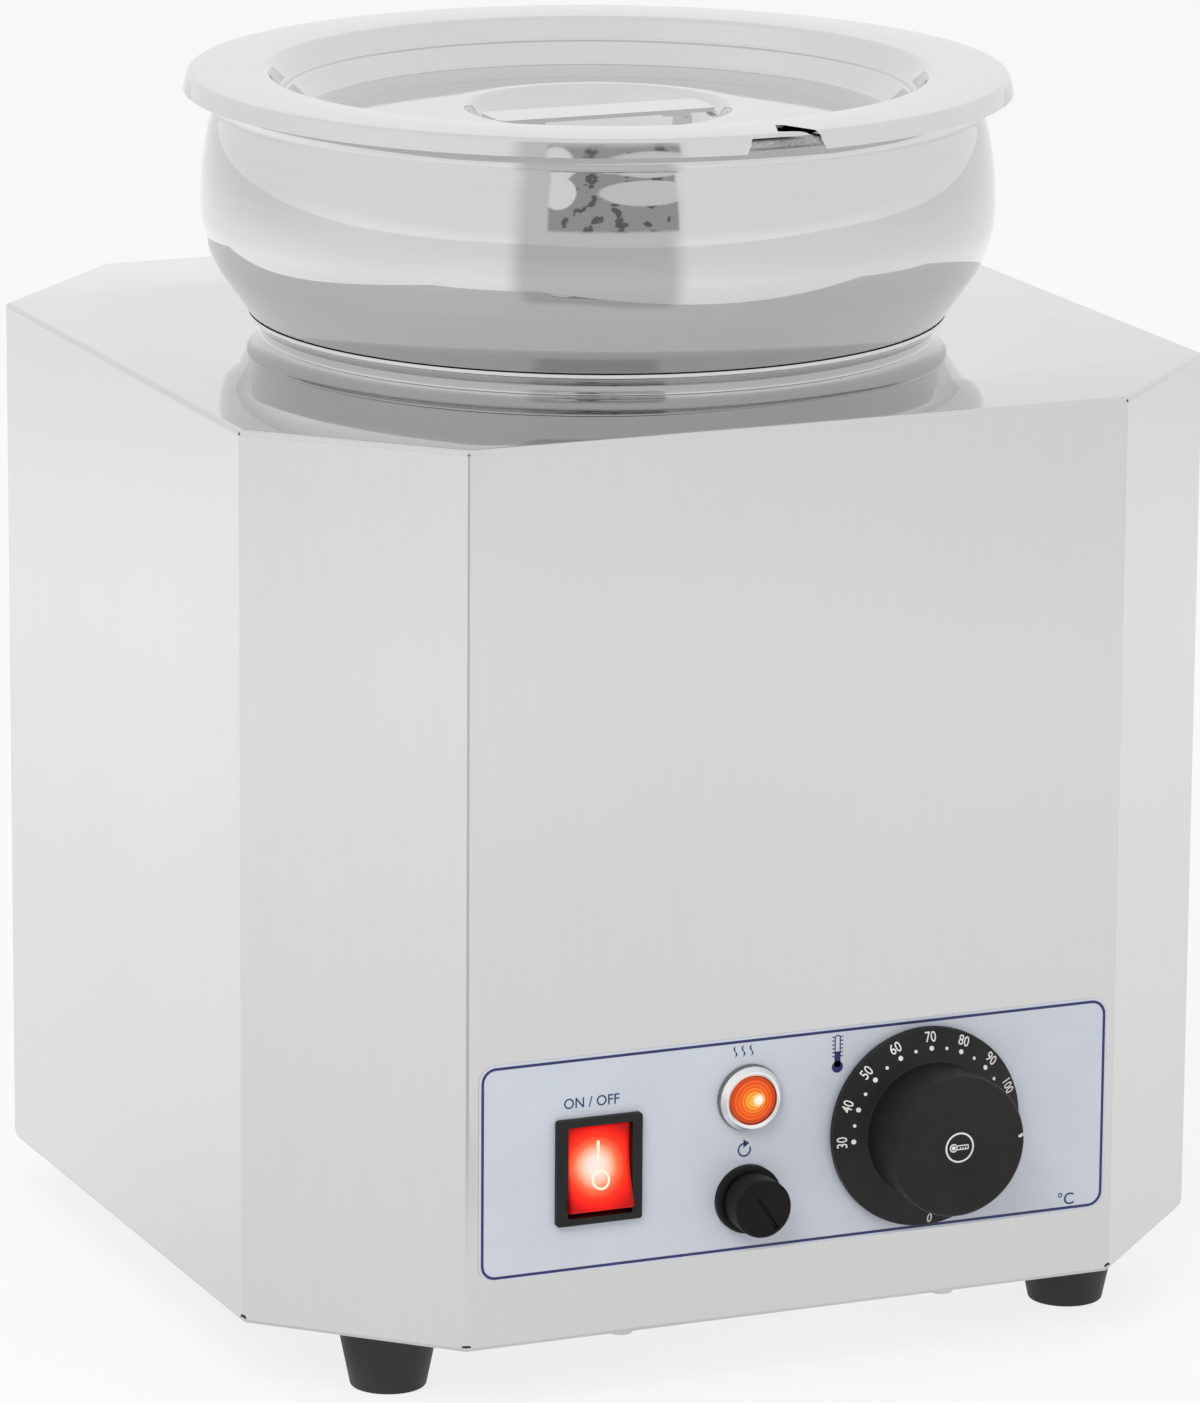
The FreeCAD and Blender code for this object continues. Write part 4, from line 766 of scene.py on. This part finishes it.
def make_floor():
    """Pale floor that metal and the camera see as near white, with the object's shadow kept, and a painted shadow
    round the object where metal sees it.
    """
    deselect()
    bpy.ops.mesh.primitive_plane_add(size=16.0, location=(0, 0, 0))
    floor = bpy.context.object
    floor.name = "studio_floor"
    floor.select_set(False)
    made = bpy.data.materials.new("studio floor")
    made.use_nodes = True
    tree = made.node_tree
    tree.nodes.clear()
    place = object_place(tree)
    above = (0.0, 0.0, 0.3)
    lowered = node(tree, "ShaderNodeVectorMath", {0: place, 1: above}, operation="SUBTRACT").outputs[0]
    heading = node(tree, "ShaderNodeVectorMath", {0: lowered}, operation="NORMALIZE").outputs[0]
    room = node(tree, "ShaderNodeGroup", {"Heading": heading}, node_tree=ROOM)
    reach = node(tree, "ShaderNodeVectorMath", {0: place}, operation="LENGTH").outputs["Value"]
    # Painted shadow: where metal sees the floor, it is up to a tenth darker near the object, fading out 1.1 m
    # from its middle.
    near = band(tree, reach, 0.15, 1.1, 0.90, 1.0)
    far = band(tree, reach, 0.9, 1.5, 1.0, 0.935)
    mirrored = math_node(tree, "MULTIPLY", room.outputs["Level"], math_node(tree, "MULTIPLY", near, far))
    ray = node(tree, "ShaderNodeLightPath")
    direct = math_node(tree, "MAXIMUM", ray.outputs["Is Camera Ray"], ray.outputs["Is Transmission Ray"])
    shown = blend(tree, ray.outputs["Is Glossy Ray"], 1.0, mirrored)
    share = math_node(tree, "MULTIPLY", math_node(tree, "MAXIMUM", direct, ray.outputs["Is Glossy Ray"]), 0.8)
    shade = blend(tree, ray.outputs["Is Glossy Ray"], 0.86, math_node(tree, "MULTIPLY", mirrored, 0.8))
    lit = node(tree, "ShaderNodeBsdfDiffuse", {"Color": shade})
    white = node(tree, "ShaderNodeEmission", {"Color": grey(1.0), "Strength": shown})
    mix = node(tree, "ShaderNodeMixShader", {0: share})
    tree.links.new(lit.outputs[0], mix.inputs[1])
    tree.links.new(white.outputs[0], mix.inputs[2])
    leave = node(tree, "ShaderNodeOutputMaterial")
    tree.links.new(mix.outputs[0], leave.inputs["Surface"])
    floor.data.materials.append(made)


# Pieces of the object

def made_of(piece, finish, body, slot, *nodes):
    """Gives the piece its finish and body, and hides the CAD nodes that it stands for; the slot is not used."""
    if finish:
        piece.data.materials.clear()
        piece.data.materials.append(finish)
    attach(piece, body)
    if nodes:
        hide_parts(*nodes)


def octagon_corners(inset, z):
    half_w = HALF_W - inset
    half_d = HALF_D - inset
    leg = CORNER_LEG - inset * (2 - math.sqrt(2))
    half = [(half_w - leg, -half_d), (half_w, -half_d + leg), (half_w, half_d - leg), (half_w - leg, half_d)]
    return [(x, y, z) for x, y in half + [(-x, -y) for x, y in half]]


def fold_relief(radius, z, i):
    """Rod through one of the housing's folds, square to it."""
    corners = octagon_corners(0.0, z)
    here = Vector(corners[i])
    back = (Vector(corners[i - 1]) - here).normalized()
    ahead = (Vector(corners[(i + 1) % 8]) - here).normalized()
    inward = (back + ahead).normalized()
    bpy.ops.mesh.primitive_cylinder_add(vertices=16, radius=radius, depth=3.4, location=here + inward * 0.7,
                                        rotation=inward.to_track_quat("Z", "Y").to_euler())
    return bpy.context.object


def make_deck():
    """Top sheet with its rolled edge and the raised collar round the well."""
    edge_r = 1.2
    piece = outline("deck_sheet", octagon_corners(0.0, DECK_Z - 2.0), 1.5, steps=3)
    thicken(piece, (0, 0, 2.0))
    pick(piece, lambda co: co.z > DECK_Z - 0.1)
    bpy.ops.mesh.bevel(offset=edge_r, segments=4, affect="EDGES")
    leave_edit()
    hollow = outline("hollow", octagon_corners(SHEET, DECK_Z - 3.0), 0.5, steps=2)
    thicken(hollow, (0, 0, 2.0))
    leave_edit()
    cut(piece, hollow)
    bpy.ops.mesh.primitive_cylinder_add(
        vertices=ROUND_STEPS, radius=WELL_EDGE_R, depth=10.0, location=(0, 0, DECK_Z))
    cut(piece, bpy.context.object)
    cut(piece, joined("reliefs", [fold_relief(0.45, DECK_Z - edge_r, i) for i in range(8)]))
    skirt = outline("joggle", octagon_corners(SHEET + 0.1, DECK_Z - 14.0), 0.4, steps=2)
    thicken(skirt, (0, 0, 13.5))
    leave_edit()
    inside = outline("inside", octagon_corners(2 * SHEET + 0.1, DECK_Z - 15.0), 0.4, steps=2)
    thicken(inside, (0, 0, 16.0))
    leave_edit()
    cut(skirt, inside)
    for part in (piece, skirt):
        to_metres(part)
    line = [(WELL_EDGE_R, DECK_Z), (WAIST_R, DECK_Z), (WAIST_R, LIP_Z - 3.0), (LIP_R, LIP_Z - 0.8)]
    collar = spun_sheet("collar", line, [0, 0.4, 5.8, 0], SHEET, steps=12)
    return smooth(joined("deck", [piece, skirt, collar]))


def make_tank():
    top = DECK_Z - SHEET
    line = [(0, 140.0), (107.0, 140.0), (107.0, top - SHEET), (118.0, top - SHEET)]
    return spun_sheet("water_tank", line, [0, 13.0, 1.5, 0], SHEET, steps=6)


def pot_line():
    """Outer face of the pot's wall, with the rounding of each corner."""
    line = [(0, POT_BASE), (96.8, POT_BASE), (97.4, 283.6), (102.75, 287.75),
            (116.14, 306.87), (117.87, 331.47), (112.37, 349.0), (116.9, 354.9)]
    return line, [0, 15.0, 2.0, 5.0, 32.0, 78.0, 4.0, 0]


def make_pot():
    line, rounds = pot_line()
    wall = spun_sheet("pot_wall", line, rounds, POT_T, steps=10)
    deselect()
    bpy.ops.mesh.primitive_torus_add(major_radius=CURL_R, minor_radius=CURL_TUBE, major_segments=ROUND_STEPS,
                                     minor_segments=28, location=(0, 0, CURL_Z))
    curl = bpy.context.object
    curl.data.transform(Matrix.Translation(curl.location))
    curl.location = (0, 0, 0)
    finish_piece(curl)
    wall.data.materials.append(pot_steel)
    curl.data.materials.append(curl_steel)
    return smooth(joined("pot", [wall, curl]))


def make_lid():
    """Drawn lid: flat rim with a leaning skirt, recessed disc, dish, and the ladle notch cut in its front."""
    disc_z = LID_TOP - 13.2
    crown = disc_z + 2.2
    dish_z = crown - 13.0
    line = [(0, dish_z), (31.0, dish_z), (38.6, crown), (62.9, crown - 0.22), (87.2, disc_z),
            (91.2, LID_TOP - 7.0), (93.6, LID_TOP - 6.6), (97.0, LID_TOP), (LID_R, LID_TOP),
            (SKIRT_R, LID_TOP - 5.2)]
    piece = spun_sheet("lid_pan", line, [0, 6.0, 2.5, 500.0, 2.0, 1.4, 1.4, 2.5, 1.6, 0], -SHEET, steps=8)
    edge = -SKIRT_R
    low = LID_TOP - 6.0
    slot_line = [(4.6, 4.4), (14.6, 1.6), (15.6, -1), (16.8, -1), (16.8, 1), (10.5, 14.1), (8.5, 14.9)]
    slot = outline("slot", [(x, edge + y, low) for x, y in slot_line], [0, 0, 0, 0, 0, 0.6, 0.6])
    thicken(slot, (0, 0, 15.0))
    finish_piece(slot)
    cut(piece, slot)
    mouth_line = [(-8.0, -8), (20.0, -8), (17.0, -2.5), (17.0, -1), (-5.0, -1), (-5.0, -2.5)]
    mouth = outline("mouth", [(x, edge - 3, LID_TOP + z) for x, z in mouth_line], [0, 0, 2.0, 0.8, 0.8, 2.0])
    thicken(mouth, (0, 9.0, 0))
    finish_piece(mouth)
    cut(piece, mouth)
    return smooth(piece)


FACE_FRONT = Matrix.Rotation(math.pi / 2, 4, "X")


def front_place(x, z, y):
    return Matrix.Translation((x, y, z))


def hollow_out(width):
    """Leaves only an even rim of the selected face, and selects it."""
    bpy.ops.mesh.inset(thickness=width)
    bpy.ops.mesh.delete(type="FACE")
    bpy.ops.mesh.select_all(action="SELECT")


def make_border():
    """Navy line just inside the film's edge."""
    x0, x1, z0, z1 = FILM_BOX
    inset = 0.7
    middle = ((x0 + x1) / 2, (z0 + z1) / 2)
    corners = front_box(*middle, x1 - x0 - 2 * inset, z1 - z0 - 2 * inset, FILM)
    piece = outline("film_border", corners, 4.4, steps=8)
    bpy.ops.mesh.select_all(action="SELECT")
    hollow_out(0.8)
    return finish_piece(thicken(piece, (0, -INK_T, 0)))


def round_print(name, radius, steps, place, width=0.0, upright=True):
    """Printed dot, or ring of that width, made at the origin and moved to its place by a matrix."""
    deselect()
    start = (0, 0, 0 if upright else -INK_T / 2)
    bpy.ops.mesh.primitive_circle_add(vertices=steps, radius=radius, fill_type="NGON", location=start,
                                      rotation=(math.pi / 2 if upright else 0, 0, 0))
    piece = bpy.context.object
    piece.name = piece.data.name = name
    bpy.ops.object.transform_apply(location=True, rotation=True, scale=True)
    enter_edit()
    if width:
        hollow_out(width)
    thicken(piece, (0, -INK_T, 0) if upright else (0, 0, INK_T))
    leave_edit()
    piece.data.transform(place)
    return piece


def disc(name, centre, radius, y, steps=24):
    """Small round print on an upright face."""
    return round_print(name, radius, steps, front_place(*centre, y))


def bar(name, points, y, radius=0.0):
    """Flat print from its corner points on an upright face."""
    piece = outline(name, [(x, y, z) for x, z in points], radius, steps=4)
    thicken(piece, (0, -INK_T, 0))
    leave_edit()
    return piece


def block(x0, x1, z0, z1):
    return [(x0, z0), (x1, z0), (x1, z1), (x0, z1)]


def ring_print(name, centre, outer, width, y, steps=48):
    """Printed circle on an upright face."""
    return round_print(name, outer, steps, front_place(*centre, y), width)


def make_thermometer():
    """Thermometer sign printed beside the dial, with ticks along both sides."""
    x, low, high = 12.9, 91.0, 102.2
    bulb_z = low + 1.7
    tube_w = 1.9
    parts = [disc("bulb", (x, bulb_z), 1.75, FILM)]
    parts.append(bar("filled", block(x - tube_w / 2, x + tube_w / 2, bulb_z, bulb_z + 4.4), FILM))
    box = block(x - tube_w / 2, x + tube_w / 2, bulb_z + 4.2, high)
    tube = outline("tube", [(u, FILM, v) for u, v in box], [0, 0, 0.9, 0.9], steps=5)
    hollow_out(0.32)
    thicken(tube, (0, -INK_T, 0))
    leave_edit()
    parts.append(tube)
    for i in range(6):
        z = bulb_z + 3.0 + i * 1.15
        for side in (-1, 1):
            inner = x + side * (tube_w / 2 - 0.1)
            outer = x + side * (tube_w / 2 + 0.75)
            parts.append(bar("tick", block(min(inner, outer), max(inner, outer), z, z + 0.32), FILM))
    return to_metres(joined("thermometer_sign", parts))


def make_labels():
    """Generic signs in the places of the film's words: on and off, heat, reset and degrees."""
    ink_y = FILM - INK_T / 2
    bold = 0.022
    on_off = lettering("on_off_label", "ON / OFF", 3.1, front_place(-63.2, 90.9, ink_y), FACE_FRONT, bold, 0.95)
    degrees = lettering("degree_label", "°C", 3.6, front_place(86.5, 44.9, ink_y), FACE_FRONT, bold, 1.0)
    heat = []
    for i in (-1, 0, 1):
        x = -16.5 + i * 2.5
        line = [(x, FILM, 98.9), (x + 0.7, FILM, 99.8), (x - 0.7, FILM, 101.4), (x, FILM, 102.3)]
        wave = draw_line("wave", line, [0, 1.1, 1.1, 0])
        bpy.ops.mesh.select_all(action="SELECT")
        bpy.ops.mesh.extrude_region_move(TRANSFORM_OT_translate={"value": (0, -INK_T, 0)})
        leave_edit()
        heat.append(use(wave, "SOLIDIFY", thickness=0.45, offset=0.0))
    heat = joined("heat_sign", heat)
    centre = (-15.9, 71.3)
    arrow = ring_print("reset_ring", centre, 2.1, 0.48, FILM)
    select_only(arrow)
    enter_edit()
    pick(arrow, lambda co: co.x - centre[0] > 0.4 and co.z - centre[1] > 0.9)
    bpy.ops.mesh.delete(type="VERT")
    leave_edit()
    head = bar("head", [(centre[0] - 0.3, centre[1] + 0.6), (centre[0] + 1.6, centre[1] + 1.85),
                        (centre[0] - 0.3, centre[1] + 3.1)], FILM)
    arrow = joined("reset_sign", [arrow, head])
    return [to_metres(piece) for piece in (on_off, degrees, heat, arrow)]


def skirt_out(radius):
    """How far the dial's skirt stands out of the front at a radius."""
    return SKIRT_OUT - (radius - SKIRT_IN) * SKIRT_FALL / SKIRT_RUN


def dial_place(angle, radius):
    """Matrix that sets a print made flat in XY, facing +Z, on the dial's sloping skirt."""
    slope = math.atan2(SKIRT_FALL, SKIRT_RUN)
    spin = Matrix.Rotation(math.radians(angle - 90.0), 4, (0, -1, 0))
    place = front_place(*DIAL, FRONT - skirt_out(radius) - INK_T / 2)
    return place @ spin @ Matrix.Translation((0, 0, radius)) @ Matrix.Rotation(-slope, 4, "X") @ FACE_FRONT


DIAL_MARKS = [(30, 183.1), (40, 160.3), (50, 136.6), (60, 113.3),
              (70, 89.3), (80, 66.2), (90, 43.2), (100, 21.0)]
ZERO_ANGLE = 272.0
DOT_R = 23.9
NUMBER_R = 27.1


def dial_dot(angle, size):
    return round_print("dot", size, 20, dial_place(angle, DOT_R), upright=False)


def dial_number(words, angle, height, narrow):
    return lettering("number", words, height, dial_place(angle, NUMBER_R), Matrix.Identity(4), 0.02, narrow)


def make_dial_prints():
    """White dots and numbers on the skirt."""
    parts = []
    for i, (number, angle) in enumerate(DIAL_MARKS):
        parts.append(dial_dot(angle, 0.72))
        parts.append(dial_number(str(number), angle, 3.1, 0.72 if number == 100 else 0.84))
        if i:
            middle = (angle + DIAL_MARKS[i - 1][1]) / 2
            parts.append(dial_dot(middle, 0.5))
    parts.append(dial_number("0", ZERO_ANGLE, 3.0, 0.8))
    return to_metres(joined("dial_scale", parts))


def make_hub_sign():
    """White ring with a lying thermometer on the middle of the knob's face."""
    y = FRONT - KNOB_OUT
    x, z = DIAL
    parts = [ring_print("ring", (x, z), 4.45, 0.5, y), ring_print("bulb", (x - 1.9, z), 1.25, 0.35, y, 24)]
    parts.append(disc("mercury", (x - 1.9, z), 0.62, y))
    parts.append(bar("upper", block(x - 0.9, x + 2.6, z + 0.42, z + 0.72), y))
    parts.append(bar("lower", block(x - 0.9, x + 2.6, z - 0.72, z - 0.42), y))
    parts.append(bar("end", block(x + 2.5, x + 2.8, z - 0.72, z + 0.72), y))
    for i in range(3):
        left = x + 0.1 + i * 0.8
        parts.append(bar("mark", block(left, left + 0.28, z - 0.45, z + 0.05), y))
    return to_metres(joined("hub_sign", parts))


def make_knob_tick():
    """White tick in the notch at the edge of the knob's face."""
    piece = bar("knob_tick", block(18.6, 19.6, -0.35, 0.35), -3.0)
    spin = Matrix.Rotation(math.radians(4.0), 4, (0, -1, 0))
    piece.data.transform(front_place(*DIAL, FRONT - KNOB_OUT + 3.0) @ spin)
    return to_metres(piece)


def make_bezel():
    """Square-cornered face of the switch's frame, a skin over the moulded one."""
    x, z = SWITCH
    skin = 0.06
    depth = BEZEL_T + skin
    face = front_box(x, z, BEZEL[0] + 2 * skin, BEZEL[1] + 2 * skin, FILM)
    piece = outline("switch_bezel", face, 0.9, steps=5)
    thicken(piece, (0, -depth, 0))
    pick(piece, lambda co: co.y < FILM - depth + 0.01)
    bpy.ops.mesh.bevel(offset=0.5, segments=3, affect="EDGES")
    leave_edit()
    opening = front_box(x, z, SWITCH_WELL[0] - 2 * skin, SWITCH_WELL[1] - 2 * skin, FILM + SHEET)
    well = outline("well", opening, 0.3, steps=2)
    thicken(well, (0, -depth - 2.0, 0))
    leave_edit()
    return finish_piece(cut(piece, well))


def make_rocker_marks():
    """I and O on the rocker, pressed on to its hollow face."""
    x, z = SWITCH
    ahead = FRONT - 20.0
    box = block(x - 0.45, x + 0.45, z + 2.7, z + 8.4)
    upright = outline("mark_i", [(u, ahead, v) for u, v in box], 0.3, steps=3)
    bpy.ops.mesh.subdivide(number_cuts=6)
    leave_edit()
    radius, turns = 2.8, [TURN * i / 40 for i in range(40)]
    circle = [(x + 0.4 + radius * math.cos(a), ahead, z - 2.9 + radius * math.sin(a)) for a in turns]
    outer = outline("mark_o", circle, 0.0)
    bpy.ops.mesh.inset(thickness=0.65)
    bpy.ops.mesh.delete(type="FACE")
    leave_edit()
    marks = to_metres(joined("rocker_marks", [upright, outer]))
    use(marks, "SHRINKWRAP", target=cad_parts["rocker"], wrap_method="PROJECT", use_project_y=True,
        use_positive_direction=True, use_negative_direction=False, offset=0.04 * MM)
    return use(marks, "SOLIDIFY", thickness=0.06 * MM, offset=0.0)


ROOM = room_group()
finish_nodes()
made_of(make_deck(), polished_steel, "housing", "polished_steel", "deck")
made_of(make_tank(), tank_steel, "housing", "tank_steel", "water_tank")
made_of(make_pot(), None, "pot", "pot_steel", "pot")
made_of(make_lid(), lid_steel, "lid", "lid_steel", "lid_pan")
made_of(make_bezel(), black_plastic, "housing", "black_plastic")
made_of(make_border(), navy_ink, "housing", "overlay_film")
made_of(make_thermometer(), navy_ink, "housing", "overlay_film")
for label in make_labels():
    made_of(label, navy_ink, "housing", "overlay_film")
made_of(make_dial_prints(), white_ink, "dial", "black_plastic")
made_of(make_hub_sign(), white_ink, "dial", "black_plastic")
made_of(make_knob_tick(), white_ink, "dial", "black_plastic")
made_of(make_rocker_marks(), mark_cream, "rocker", "rocker_red")
make_camera()
make_world()
make_floor()
make_lamp("key panel", (-1.1, -1.3, 1.7), (0, 0, 0.2), 1.2, 1.2, 22.0)
bpy.context.scene.view_settings.view_transform = "Standard"
